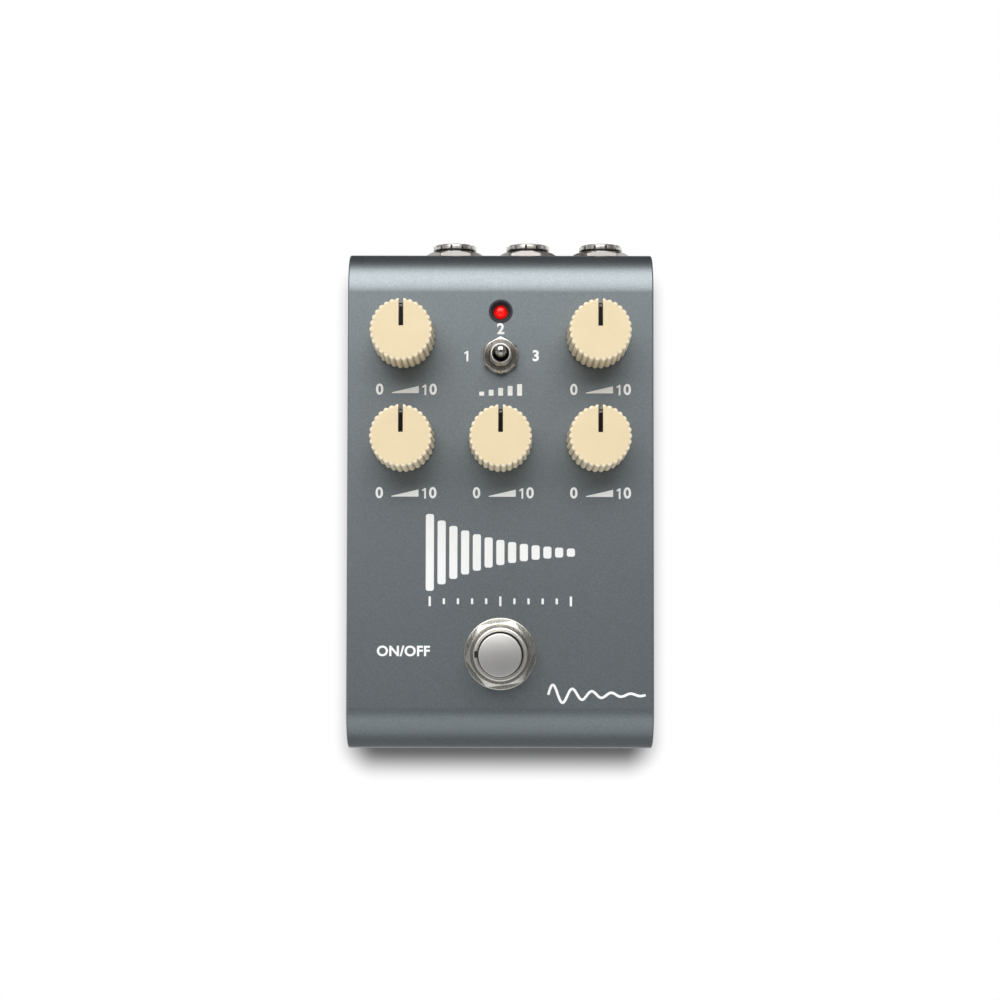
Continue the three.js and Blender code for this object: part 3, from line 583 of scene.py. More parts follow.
def blasted(name, colour, roughness):
    """Metal with a fine even grain, as bead blasting leaves it."""
    look = Finish(name, colour, roughness, 1.0)
    look.mottled(look.noise(0.25, 3), 0.3, 0.75, 0.97, 1.02)
    grain = look.noise(7.0, 3)
    look.rough(grain, 0.3, 0.7, roughness * 0.93, roughness * 1.07)
    look.bumped(grain, 0.0003, 0.5)
    return look.material


def moulded(name, colour, roughness, grain=0.006, lighter=1.12, darker=0.9, **sockets):
    """Moulded plastic or rubber: a fine texture, slight clouding, and dust-dull patches."""
    look = Finish(name, colour, roughness, 0.0, **sockets)
    cloud = look.noise(0.22, 4)
    look.mottled(cloud, 0.3, 0.75, darker, lighter)
    look.rough(look.noise(0.9, 4), 0.3, 0.75, roughness * 0.88, min(roughness * 1.15, 1))
    look.bumped(look.noise(5.0, 4), grain, 0.5).bumped(look.noise(0.5, 3), grain * 2, 0.3)
    return look.material


def knob_plastic(name, colour):
    """Cream plastic with a painted highlight, paler along the rim and the ridges, and painted shade, darker
    down in the grooves; the mesh says how far each point stands out, from 0 in a groove through 0.5 on the flat
    to
    1 on a crest."""
    look = Finish(name, colour, 0.3)
    look.mottled(look.noise(0.22, 4), 0.3, 0.75, 0.97, 1.03)
    ridge = look.nodes.new("ShaderNodeAttribute")
    ridge.attribute_name = "ridge"
    # Painted highlight: the crests and the rim are tinted paler.
    look.tint(look.mapped(ridge.outputs["Fac"], 0.55, 1.0, 0, 0.8), (0.92, 0.84, 0.68))
    # Painted shade: the grooves are tinted darker.
    groove = [c * share for c, share in zip(colour, (0.42, 0.34, 0.26))]
    look.tint(look.mapped(ridge.outputs["Fac"], 0.45, 0.0, 0, 0.85), groove)
    look.rough(look.noise(0.9, 4), 0.3, 0.75, 0.27, 0.34)
    look.bumped(look.noise(5.0, 4), 0.002, 0.5).bumped(look.noise(0.5, 3), 0.005, 0.3)
    return look.material


MATERIALS = {}


def material_named(name):
    """Each finish is made once and shared by the pieces that have it."""
    if name in MATERIALS:
        return MATERIALS[name]
    colours = bpy.context.scene.pedal_colours
    toggle_axis, switch_axis = middle_of("toggle_nut")[:2], middle_of("footswitch_nut")[:2]
    makers = {
        "case": lambda: case_coating("case_coating", colours.case),
        "tray": lambda: moulded("tray_coating", (0.075, 0.088, 0.094), 0.5, 0.01, Metallic=0.55),
        "cream": lambda: knob_plastic("knob_plastic", colours.knob),
        "pointer": lambda: moulded("pointer_plastic", colours.pointer, 0.13, 0.0006, Specular_IOR_Level=0.6),
        "toggle_nut": lambda: plated("toggle_nut_plate", (0.50, 0.475, 0.44), 0.17, 0.4, toggle_axis),
        "switch_nut": lambda: plated("switch_nut_plate", (0.63, 0.61, 0.57), 0.25, 0.4, switch_axis),
        "print": lambda: moulded("panel_ink", colours.print_white, 0.55, 0.004, 1.02, 0.95),
        "nickel": lambda: plated("nickel_plate", (0.78, 0.755, 0.71), 0.16),
        # The toggle's washer: nickel plate made much darker than the footswitch's, so it shows as a dark ring
        # round the toggle nut: painted shade.
        "washer": lambda: plated("washer_plate", (0.36, 0.35, 0.335), 0.15, 0.4),
        "switch_washer": lambda: plated("switch_washer_plate", (0.58, 0.575, 0.535), 0.27, 0.4, switch_axis),
        "ring": lambda: blasted("ring_nickel", (0.72, 0.69, 0.65), 0.28),
        "jack_nut": lambda: blasted("jack_nut_nickel", (0.52, 0.50, 0.475), 0.3),
        "lever": lambda: blasted("lever_chrome", (0.40, 0.39, 0.37), 0.15),
        "rim": lambda: blasted("rim_nickel", (0.60, 0.585, 0.55), 0.33),
        "satin": lambda: blasted("satin_nickel", (0.60, 0.60, 0.59), 0.345),
        "steel": lambda: plated("shaft_steel", (0.55, 0.55, 0.54), 0.28),
        "screw": lambda: plated("screw_steel", (0.20, 0.20, 0.205), 0.34),
        "black": lambda: moulded("black_plastic", (0.016, 0.016, 0.017), 0.42, 0.006),
        "bezel": lambda: moulded("bezel_plastic", (0.030, 0.044, 0.050), 0.62, 0.004, Specular_IOR_Level=0.3),
        "rubber": lambda: moulded("foot_rubber", (0.022, 0.022, 0.023), 0.82, 0.02),
        "pot": lambda: moulded("pot_housing", (0.035, 0.060, 0.048), 0.5, 0.008),
        "board": lambda: circuit_board("circuit_board", colours.board),
        "lamp": lambda: lamp_lens("lamp_lens", colours.lamp),
    }
    MATERIALS[name] = makers[name]()
    return MATERIALS[name]


def circuit_board(name, colour):
    """Solder mask with copper tracks showing faintly under it and tinned spots."""
    look = Finish(name, colour, 0.35, 0.0, Coat_Weight=0.4)
    tracks = look.cells(0.7)
    look.tint(look.mapped(tracks, 0.55, 0.6, 0, 0.5), [min(c * 2.2, 1) for c in colour])
    look.tint(look.mapped(look.cells(0.45), 0.93, 0.95, 0, 0.9), (0.55, 0.56, 0.55))
    look.bumped(tracks, 0.02, 0.5)
    return look.material


def lamp_lens(name, colour):
    """Lit red lens: glossy, its own light painted weak towards the rear and strong towards the front, a
    painted shade across the lens, with faint striae in the plastic.
    """
    look = Finish(name, colour, 0.2, 0.0, Coat_Weight=0.3, Coat_Roughness=0.08, Specular_IOR_Level=0.25)
    look.shader.inputs["Emission Color"].default_value = (1.0, 0.003, 0.002, 1)
    along = look.axes()["Y"]
    middle = float(middle_of("status_led")[1])
    # Painted shade on the lens's own light: weakest towards the rear, strongest towards the front.
    glow = look.mapped(along, (middle + 0.45) * MM, (middle - 0.6) * MM, 0.08, 0.45, "SMOOTHSTEP")
    look.links.new(glow, look.shader.inputs["Emission Strength"])
    look.mottled(look.noise(1.2, 3), 0.3, 0.7, 0.9, 1.1)
    look.bumped(look.noise(1.5, 2), 0.004, 0.3)
    return look.material


class PieceOperator:
    """What the operators share: they build a piece or a group of like pieces and can be undone."""

    bl_options = {"REGISTER", "UNDO"}


class PEDAL_OT_case_sheet(PieceOperator, bpy.types.Operator):
    """Bent case sheet with its openings"""

    bl_idname = "pedal.case_sheet"
    bl_label = "Case Sheet"

    def execute(self, context):
        sizes = context.scene.pedal_sizes
        mesh = build_mesh("case_sheet", [self.sheet(sizes.wall / MM, sizes.end_bend / MM, sizes.edge / MM)])
        mesh = shape_with(mesh, [build_mesh("case_cutter", [part]) for part in self.openings(sizes.wall / MM)])
        add_piece("case_sheet", mesh, "case", "case_sheet", ["chassis_shell"], sharp_degrees=28, weighted=True)
        return {"FINISHED"}

    def sheet(self, wall, bend, edge):
        """A rounded rectangle, as wide as the case and as thick as the sheet, swept along the side view.

        The inner and outer side views have the same number of points. A point of the section at thickness
        share s lies at inner + s (outer - inner), and at its own place across the width.
        """
        hem, hem_depth = 3.0, 10.0
        (front, rear), (low, top) = (CASE_LOW[1], CASE_HIGH[1]), (CASE_LOW[2], CASE_HIGH[2])

        def line(inset):
            f, r, lo, hi = front + inset, rear - inset, low + inset, top - inset
            return rounded([(front + hem_depth, lo, 0), (f, lo, hem - inset), (f, hi, bend - inset),
                            (r, hi, bend - inset), (r, lo, hem - inset), (rear - hem_depth, lo, 0)], 18)

        outer, inner = line(0), line(wall)
        half = CASE_HIGH[0]
        section = rounded([(-half, 0, edge), (half, 0, edge), (half, wall, edge), (-half, wall, edge)], 5, True)
        share = (section[:, 1] / wall)[None, :, None]
        side_view = inner[:, None] + (outer - inner)[:, None] * share
        across = np.broadcast_to(section[:, 0], side_view.shape[:2])
        return ring_part(np.dstack([across, side_view]), cap_first=True, cap_last=True)

    def openings(self, wall):
        """Round bars and a slot through the panel, the rear wall and the hems."""
        past = 1
        panel = (PANEL_TOP - wall - past, PANEL_TOP + past)
        through = (-wall - past, past)
        hem = (CASE_LOW[2] - past, CASE_LOW[2] + wall + past)
        shaft_hole, jack_hole, power_hole = 3.5, 4.9, 4.4
        parts = [moved(round_bar(shaft_hole, *panel), *middle_of(f"knob_{name}")[:2]) for name in CONTROLS]
        for hole, node in ((2.7, "toggle_nut"), (2.67, "led_bezel"), (6.2, "footswitch_nut")):
            parts.append(moved(round_bar(hole, *panel), *middle_of(node)[:2]))
        for jack in JACKS:
            x, _, z = middle_of(f"{jack}_ring")
            parts.append(rearward(round_bar(jack_hole, *through), x, z))
        parts.append(rearward(round_bar(power_hole, *through), POWER_X, POWER_Z))
        x, _, z = middle_of("data_port")
        slot = stadium(width=9.44, height=3.7)
        parts.append(rearward(raised(slot, [(level, 1) for level in through]), x, z))
        half_depth, half_notch, past_side = 55.5, 4.2, 0.5
        for corner in CORNERS:
            x, y, _ = middle_of(f"base_screw_{corner}")
            parts.append(moved(round_bar(SCREW_HOLE, *hem, columns=24), x, y))
            side, end = math.copysign(1, x), math.copysign(1, y - CASE_MIDDLE[1])
            place = (side * (CASE_HIGH[0] + past_side), CASE_MIDDLE[1] + end * (half_depth - 2 - half_notch))
            parts.append(rounded_box(width=5.2, depth=8.5, low=hem[0], high=CASE_LOW[2] + 3, radius=0.1,
                                     middle=place))
        return parts


def stadium(width, height):
    """A slot with half-round ends, as an outline of (x, y)."""
    x, y = width / 2, height / 2
    return rounded([(x, -y, y * 0.999), (x, y, y * 0.999), (-x, y, y * 0.999), (-x, -y, y * 0.999)], 10, True)


POWER_AXIS_DROP = 6.2
POWER_X = float(middle_of("power_socket")[0])
POWER_Z = float(top_of("power_socket") - POWER_AXIS_DROP)


class PEDAL_OT_base_tray(PieceOperator, bpy.types.Operator):
    """Base tray with its two side walls"""

    bl_idname = "pedal.base_tray"
    bl_label = "Base Tray"

    def execute(self, context):
        low, high = box_of("base_tray")
        tray_wall, bend, least_bend = 1.5, 1.5, 0.01
        half, floor, top = high[0], low[2], high[2]
        uncut_top, past, cutter_width = top + 2, 1, 80

        def line(inset):
            side, level, curve = half - inset, floor + inset, max(bend - inset, least_bend)
            return rounded([(-side, uncut_top, 0), (-side, level, curve), (side, level, curve),
                            (side, uncut_top, 0)], 8)

        outer, inner = line(0), line(tray_wall)
        loop = np.concatenate([outer, inner[::-1]])
        ends = np.array([np.column_stack([loop[:, 0], np.full(len(loop), y), loop[:, 1]])
                         for y in (low[1] - past, high[1] + past)])
        mesh = build_mesh("base_tray_pressed", [ring_part(ends, cap_first=True, cap_last=True)])
        reach, wall_reach, corner, edge = 55.0, 53.2, 7.2, 0.2
        y, step = CASE_MIDDLE[1], floor + tray_wall
        outline = rounded([(y - reach, floor, edge), (y + reach, floor, edge), (y + reach, step, edge),
                           (y + wall_reach, step, 0), (y + wall_reach, top, corner),
                           (y - wall_reach, top, corner), (y - wall_reach, step, 0),
                           (y - reach, step, edge)], 8, True)
        mesh = shape_with(mesh, [build_mesh("tray_keep", [side_prism(outline, cutter_width)])], "INTERSECT")
        holes = []
        for place in CORNERS:
            x, hole_y, _ = middle_of(f"base_screw_{place}")
            bar = round_bar(SCREW_HOLE, low=1, high=6, columns=32)
            holes.append(build_mesh("tray_cutter", [moved(bar, x, hole_y)]))
        mesh = shape_with(mesh, holes)
        add_piece("base_tray_pressed", mesh, "tray", "tray_sheet", ["base_tray"], weighted=True)
        return {"FINISHED"}


class PEDAL_OT_fasteners(PieceOperator, bpy.types.Operator):
    """Base screws and rubber feet"""

    bl_idname = "pedal.fasteners"
    bl_label = "Screws and Feet"

    def execute(self, context):
        screw, foot = self.screw_mesh(), self.foot_mesh()
        for place in CORNERS:
            add_copy(f"screw_{place}", screw, f"base_screw_{place}", "screw", "screw_steel")
            add_copy(f"foot_{place}", foot, f"rubber_foot_{place}", "rubber", "foot_rubber")
        return {"FINISHED"}

    def screw_mesh(self):
        """A pan head turned about +Z, a threaded shank, and a tapered cross sunk in the head."""
        low, high = box_of("base_screw_front_left")
        under, head, face, shank, tip, pitch = 2.5, 2.75, 2.3, 1.5, 1.1, 0.5
        profile = rounded([(0, low[2], 0), (face, low[2], 0.9), (head, under - 0.3, 0.2),
                           (head, under, 0.08), (shank, under, 0)], 5).tolist()
        profile += thread_rows(shank, under + 0.05, high[2] - 0.4, pitch) + [[tip, high[2]], [0, high[2]]]
        push = thread(under, high[2], pitch, depth=0.22, outside=1.45)
        limited = lambda r, z, a: push(r, z, a) * (z > under)
        mesh = build_mesh("screw", [spun(profile, 48, limited)])
        arm, half, sunk, wide, narrow = 1.55, 0.36, 1.0, 1.06, 0.62
        cross = [(arm, -half), (arm, half), (half, half), (half, arm), (-half, arm), (-half, half),
                 (-arm, half), (-arm, -half), (-half, -half), (-half, -arm), (half, -arm), (half, -half)]
        cutter = build_mesh("screw_cross", [raised(cross, [(low[2] - 0.3, wide), (low[2] + sunk, narrow)])])
        return shape_with(mesh, [cutter])

    def foot_mesh(self):
        """A foot turned about +Z: a rounded disc with a shallow ring groove and a dimple underneath."""
        low, high = box_of("rubber_foot_front_left")
        radius, flare, base = (high[0] - low[0]) / 2, 0.75, low[2]
        dimple, groove = base + 0.35, base + 0.2
        profile = rounded([(0, dimple, 0), (1.5, dimple, 0.2), (1.9, base, 0.25), (3.5, base, 0.15),
                           (3.7, groove, 0.1), (4.1, groove, 0.1), (4.3, base, 0.15),
                           (radius - flare, base, 0.5), (radius, high[2], 0.05), (0, high[2], 0)], 5)
        return build_mesh("foot", [spun(profile, 72)])


class PEDAL_OT_knobs(PieceOperator, bpy.types.Operator):
    """Five fluted knobs with their black pointer inlays"""

    bl_idname = "pedal.knobs"
    bl_label = "Knobs"

    def execute(self, context):
        sizes = context.scene.pedal_sizes
        low, high = box_of("knob_rear_left")
        base, top = low[2], low[2] + sizes.knob_height / MM
        knob = self.knob_mesh(sizes, base, top, (high[0] - low[0]) / 2)
        inlay = build_mesh("inlay", [side_prism(self.inlay_outline(top, base), width=0.93)])
        for name in CONTROLS:
            add_copy(f"cap_{name}", knob, f"knob_{name}", "cream", "knob_cream", body=f"{name}_control",
                     sharp_degrees=36, weighted=True)
            add_copy(f"inlay_{name}", inlay, f"pointer_{name}", "pointer", "pointer_black",
                     at=f"knob_{name}", body=f"{name}_control", bevel=0.14)
        return {"FINISHED"}

    def knob_mesh(self, sizes, base, top, base_radius):
        """A turned profile whose outer side is drawn in by flute depth times (1 - |cos(n a / 2)|), which
        leaves rounded ridges with narrow valleys; the slot of the inlay is cut out of it."""
        crest, depth, half_count = 6.78, sizes.flute_depth / MM, sizes.flutes / 2
        face, bore, bore_top, hollow_top = 6.1, 3.08, top - 3, base + 1.0
        grooves_from, grooves_ramp, columns_per_flute = 5.9, 0.6, 14
        profile = rounded([(0, top, 0), (face, top, 0), (crest, top, 0.45), (base_radius, base, 0.3),
                           (5.6, base, 0.2), (5.4, hollow_top, 0.2), (4.2, hollow_top, 0.2),
                           (4.1, base, 0.1), (bore, base, 0.1), (bore, bore_top, 0), (0, bore_top, 0)], 5)
        # The long outer side is split in four.
        side = [np.linspace(p, q, 5)[:-1] if abs(p[1] - q[1]) > 5 and p[0] > 6 else p[None]
                for p, q in zip(profile[:-1], profile[1:])]
        profile = np.concatenate([*side, profile[-1:]])
        angle = even(sizes.flutes * columns_per_flute) + math.pi / 2

        def flutes(radius, height, turn):
            outer = np.clip((radius - grooves_from) / grooves_ramp, 0, 1)
            return -depth * (1 - np.abs(np.cos(half_count * turn))) * outer

        mesh = build_mesh("knob", [ring_part(turned(profile, angle, flutes))])
        cutter = build_mesh("knob_slot", [side_prism(self.inlay_outline(top, base, slot=True), width=1.03)])
        mesh = shape_with(mesh, [cutter])
        self.mark_ridges(mesh, half_count, top)
        return mesh

    def mark_ridges(self, mesh, half_count, top):
        """Saves how far each point stands out: |cos(n a / 2)| on the fluted side, a half inside of it, and up
        to 1 round the rim."""
        place = np.zeros(len(mesh.vertices) * 3)
        mesh.vertices.foreach_get("co", place)
        x, y, z = place.reshape(-1, 3).T / MM
        radius = np.hypot(x, y)
        crest = np.abs(np.cos(half_count * np.arctan2(y, x)))
        side = np.clip((radius - 6.1) / 0.25, 0, 1)
        # Round the rim the value is raised to at least 0.85, so the finish paints its highlight there.
        rim = np.clip((radius - 6.25) / 0.3, 0, 1) * np.clip((z - top + 0.6) / 0.3, 0, 1)
        value = 0.5 + side * (crest - 0.5)
        value = value + rim * (np.maximum(value, 0.85) - value)
        mesh.attributes.new("ridge", "FLOAT", "POINT").data.foreach_set("value", value.astype(np.float32))

    def inlay_outline(self, top, base, slot=False):
        """Side view of the inlay: a bar along the top, a little sunk, and one down the side, set back from the
        rim. Its slot is a little wider and open past the top and the side."""
        grow = 0.05 if slot else 0.0
        start, depth, sunk = 0.8 - grow, 0.55 + grow, 0.08
        rim_top, rim_low, foot, under = 5.78, 5.98, base + 0.6 - grow, top - depth - sunk
        out, level, corner = (2.5, top + 1, 0) if slot else (0, top - sunk, 0.9)
        return rounded([(start, level, 0), (rim_top + out, level, corner), (rim_low + out, foot, 0),
                        (rim_low - depth, foot, 0), (rim_top - depth, under, 0), (start, under, 0)], 6, True)


class PEDAL_OT_potentiometers(PieceOperator, bpy.types.Operator):
    """Finishes of the potentiometer housings and their shafts"""

    bl_idname = "pedal.potentiometers"
    bl_label = "Potentiometers"

    def execute(self, context):
        for name in CONTROLS:
            dress(f"potentiometer_{name}", "pot")
            dress(f"shaft_{name}", "steel")
        return {"FINISHED"}


def dress(node, finish):
    """Gives a CAD node that keeps its shape one of the finishes."""
    obj = frame["nodes"][node]
    obj.data.materials.clear()
    obj.data.materials.append(material_named(finish))


class PEDAL_OT_toggle(PieceOperator, bpy.types.Operator):
    """Mini toggle switch: threaded bushing, washer, nut and lever"""

    bl_idname = "pedal.toggle"
    bl_label = "Toggle Switch"

    def execute(self, context):
        x, y, _ = middle_of("toggle_nut")
        top, washer_top = top_of("toggle_body"), top_of("toggle_washer")
        add_piece("toggle_bushing", self.bushing(x, y, top), "rim", "nickel_plate", ["toggle_body"],
                  sharp_degrees=40)
        # A black lining down the bushing's mouth, standing in for the shade inside it: painted shade.
        inside, outside, sleeve_end = 1.6, 1.76, top - 2.6
        shade_sleeve = rounded([(inside, sleeve_end, 0), (outside, sleeve_end, 0), (outside, top - 0.4, 0),
                          (inside, top - 0.55, 0.05)], 4, True)
        mouth = moved(spun(shade_sleeve, 64, wrap_rows=True), x, y)
        add_piece("toggle_mouth_shade", [mouth], "black", "jack_plastic")
        washer = washer_grid(outer=3.95, inner=2.62, low=PANEL_TOP, high=washer_top)
        add_piece("toggle_plate", [moved(washer, x, y)], "washer", "nickel_plate", ["toggle_washer"])
        nut = ring_part(nut_grid(flats=3.66, bore=2.58, low=washer_top, high=top_of("toggle_nut"),
                                 corner_turn=math.pi / 6), wrap_rows=True)
        add_piece("toggle_hex", [moved(nut, x, y)], "toggle_nut", "nickel_plate", ["toggle_nut"], bevel=0.06,
                  sharp_degrees=25)
        add_piece("toggle_bat", [moved(self.lever(top), x, y)], "lever", "chrome_plate", ["toggle_lever"],
                  body="toggle")
        return {"FINISHED"}

    def bushing(self, x, y, top):
        """A threaded tube turned about +Z with a countersunk mouth, standing on a rounded box."""
        low, high = box_of("toggle_body")
        under = PANEL_TOP - SHEET
        outer, bore, mouth, ball_room, pitch, tube_end = 2.5, 1.7, 1.9, 2.0, 0.53, under - 4.6
        profile = rounded([(ball_room, tube_end, 0), (ball_room, top - 4.9, 0), (bore, top - 4.7, 0.05),
                           (bore, top - 0.35, 0.1), (mouth, top, 0.14), (outer - 0.3, top, 0.16),
                           (outer, top - 0.5, 0.05)], 4).tolist()
        profile += thread_rows(outer, top - 0.55, under, -pitch)
        profile += [[outer, under - 0.5], [outer, tube_end]]
        push = thread(under, top - 0.4, pitch, depth=0.26, outside=outer - 0.15)
        tube = spun(profile, 120, push, wrap_rows=True)
        width, depth = high[0] - low[0], high[1] - low[1]
        body = rounded_box(width, depth, low[2], under, radius=0.35)
        return [moved(tube, x, y), moved(body, x, y)]

    def lever(self, top):
        """A bat turned about +Z: tail, ball, slim neck widening to a rounded tip."""
        low, high = box_of("toggle_lever")
        pivot, tip, radius = top - 3.2, high[2], 1.6
        ball_from, ball_to, neck_radius, widening, tip_radius, fullness = -0.95, 1.03, 0.80, 0.52, 1.32, 0.8
        ball = np.linspace(ball_from, ball_to, 14)
        profile = [[0, low[2]], [0.8, low[2] + 0.02], [0.9, low[2] + 0.15]]
        profile += np.column_stack([radius * np.cos(ball), pivot + radius * np.sin(ball)]).tolist()
        neck = np.linspace(0, 1, 12)
        start, end = pivot + radius * math.sin(ball_to) + 0.1, tip - 1.15
        swell = neck_radius + widening * (neck * neck * (3 - 2 * neck))
        profile += np.column_stack([swell, start + (end - start) * neck]).tolist()
        dome = np.linspace(0, math.pi / 2, 12)
        profile += np.column_stack([tip_radius * np.cos(dome) ** fullness,
                                    end + (tip - end) * np.sin(dome)]).tolist()
        profile[-1][0] = 0.0
        return spun(profile, 64)


def washer_grid(outer, inner, low, high):
    """A flat ring with eased edges, turned about +Z."""
    profile = rounded([(inner, low, 0.06), (outer, low, 0.05), (outer, high, 0.26),
                       (inner, high, 0.06)], 6, True)
    return spun(profile, 128, wrap_rows=True)


class PEDAL_OT_footswitch(PieceOperator, bpy.types.Operator):
    """Footswitch: threaded bushing with its keyway, washer, nut, button, housing and spring"""

    bl_idname = "pedal.footswitch"
    bl_label = "Footswitch"

    def execute(self, context):
        x, y, _ = middle_of("footswitch_nut")
        top, washer_top = top_of("footswitch_bushing"), top_of("footswitch_washer")
        keyway, play_x, play_y = (x - 5.31, y), 0.05, 0.08
        pocket = rounded_box(width=0.66, depth=1.45, low=top - 1.6, high=top + 1, radius=0.05, middle=keyway)
        tube = build_mesh("switch_bushing", [moved(self.bushing(top), x, y)])
        tube = shape_with(tube, [build_mesh("switch_pocket", [pocket])])
        add_piece("switch_bushing", tube, "rim", "nickel_plate", ["footswitch_bushing"], sharp_degrees=40)
        washer = washer_grid(outer=8.0, inner=6.1, low=PANEL_TOP, high=washer_top)
        add_piece("switch_plate", [moved(washer, x, y)], "switch_washer", "nickel_plate",
                  ["footswitch_washer"])
        nut = ring_part(nut_grid(flats=6.85, bore=6.05, low=washer_top, high=top_of("footswitch_nut"),
                                 corner_turn=math.radians(8), columns=288), wrap_rows=True)
        add_piece("switch_hex", [moved(nut, x, y)], "switch_nut", "nickel_plate", ["footswitch_nut"],
                  bevel=0.08, sharp_degrees=25)
        add_piece("switch_button", [moved(self.button(), x - play_x, y - play_y)], "satin", "satin_nickel",
                  ["footswitch_button"], body="footswitch")
        coil = add_piece("switch_coil", [moved(self.coil(), x, y)], "steel", "shaft_steel",
                         ["footswitch_spring"])
        # A black block in the keyway pocket, standing in for the shade down in the keyway: painted shade.
        key = rounded_box(width=0.64, depth=1.43, low=top - 1.58, high=top - 0.6, radius=0.05, middle=keyway)
        add_piece("switch_keyway_shade", [key], "black", "jack_plastic")
        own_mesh(coil)
        dress("footswitch_base", "black")
        return {"FINISHED"}

    def bushing(self, top):
        """A threaded tube turned about +Z with a collar under the panel."""
        under = box_of("footswitch_bushing")[0][2]
        panel_under = PANEL_TOP - SHEET
        bore, outer, collar, pitch = 4.9, 6.0, 8.3, 0.75
        profile = rounded([(bore, under, 0.1), (bore, top, 0.5), (outer, top, 0.55),
                           (outer, top - 0.7, 0)], 8).tolist()
        profile += thread_rows(outer, top - 0.75, panel_under + 0.05, -pitch)
        profile += rounded([(outer, panel_under, 0), (collar, panel_under, 0.15), (collar, under, 0.15),
                            (outer, under, 0)], 4).tolist()
        cut = thread(panel_under, top - 0.5, pitch, depth=0.34, outside=5.9)
        return spun(profile, 160, cut, wrap_rows=True)

    def button(self):
        """A button turned about +Z: stop collar, straight side, eased edge and a top that falls from its
        middle by crown (r / R)^2."""
        low, high = box_of("footswitch_button")
        stop, collar, side = low[2] + 1.7, 5.5, 4.7
        crown, flat = 0.25, 4.45
        profile = rounded([(0, low[2], 0), (collar, low[2], 0.2), (collar, stop, 0.2), (side, stop, 0.1),
                           (side, high[2] - crown - 0.03, 0.2), (flat, high[2] - crown, 0)], 8)
        share = np.linspace(1, 0, 16)[1:]
        dome = np.column_stack([flat * share, high[2] - crown * share**2])
        return spun(np.concatenate([profile, dome]), 128)

    def coil(self):
        """A round wire wound about +Z: the middle of the wire is at (R cos a, R sin a, rise times a), and a
        point of its section is w cos b along the radius and w sin b along the height."""
        low, high = box_of("footswitch_spring")
        wire = 0.35
        radius, turns = (high[0] - low[0]) / 2 - wire, 5
        angle = np.linspace(0, TAU * turns, 60 * turns + 1)[:, None]
        around = even(10)[None, :]
        reach = radius + wire * np.cos(around)
        rise = low[2] + wire + (high[2] - low[2] - 2 * wire) * angle / (TAU * turns)
        grid = np.stack([reach * np.cos(angle), reach * np.sin(angle), rise + wire * np.sin(around)], -1)
        return ring_part(grid, cap_first=True, cap_last=True)


class PEDAL_OT_status_light(PieceOperator, bpy.types.Operator):
    """Status light and the bezel round it"""

    bl_idname = "pedal.status_light"
    bl_label = "Status Light"

    def execute(self, context):
        x, y, _ = middle_of("led_bezel")
        low, high = box_of("led_bezel")
        top, outer, mouth, lens_radius, dome = high[2] + 0.05, 2.62, 2.25, 1.56, 1.15
        profile = rounded([(lens_radius, low[2], 0), (outer, low[2], 0), (outer, top, 0.08),
                           (mouth, top, 0.08), (1.85, top - 1.4, 0.2), (lens_radius, top - 1.5, 0.05)], 5, True)
        bezel = spun(profile, 96, wrap_rows=True)
        add_piece("lamp_bezel", [moved(bezel, x, y)], "bezel", "bezel_plastic", ["led_bezel"])
        low, high = box_of("status_led")
        lens_low, leg_top, leg_width, leg_x = low[2] + 5, low[2] + 5.4, 0.5, 0.95
        crown = np.linspace(0, math.pi / 2, 16)
        lens = [[0, lens_low], [lens_radius, lens_low]]
        lens += np.column_stack([lens_radius * np.cos(crown), high[2] - dome + dome * np.sin(crown)]).tolist()
        lens[-1][0] = 0.0
        parts = [moved(spun(lens, 64), x, y)]
        parts += [rounded_box(leg_width, leg_width, low[2], leg_top, radius=0.05,
                              middle=(x + side * leg_x, y)) for side in (-1, 1)]
        add_piece("lamp_lens", parts, "lamp", "lamp_red", ["status_led"])
        return {"FINISHED"}


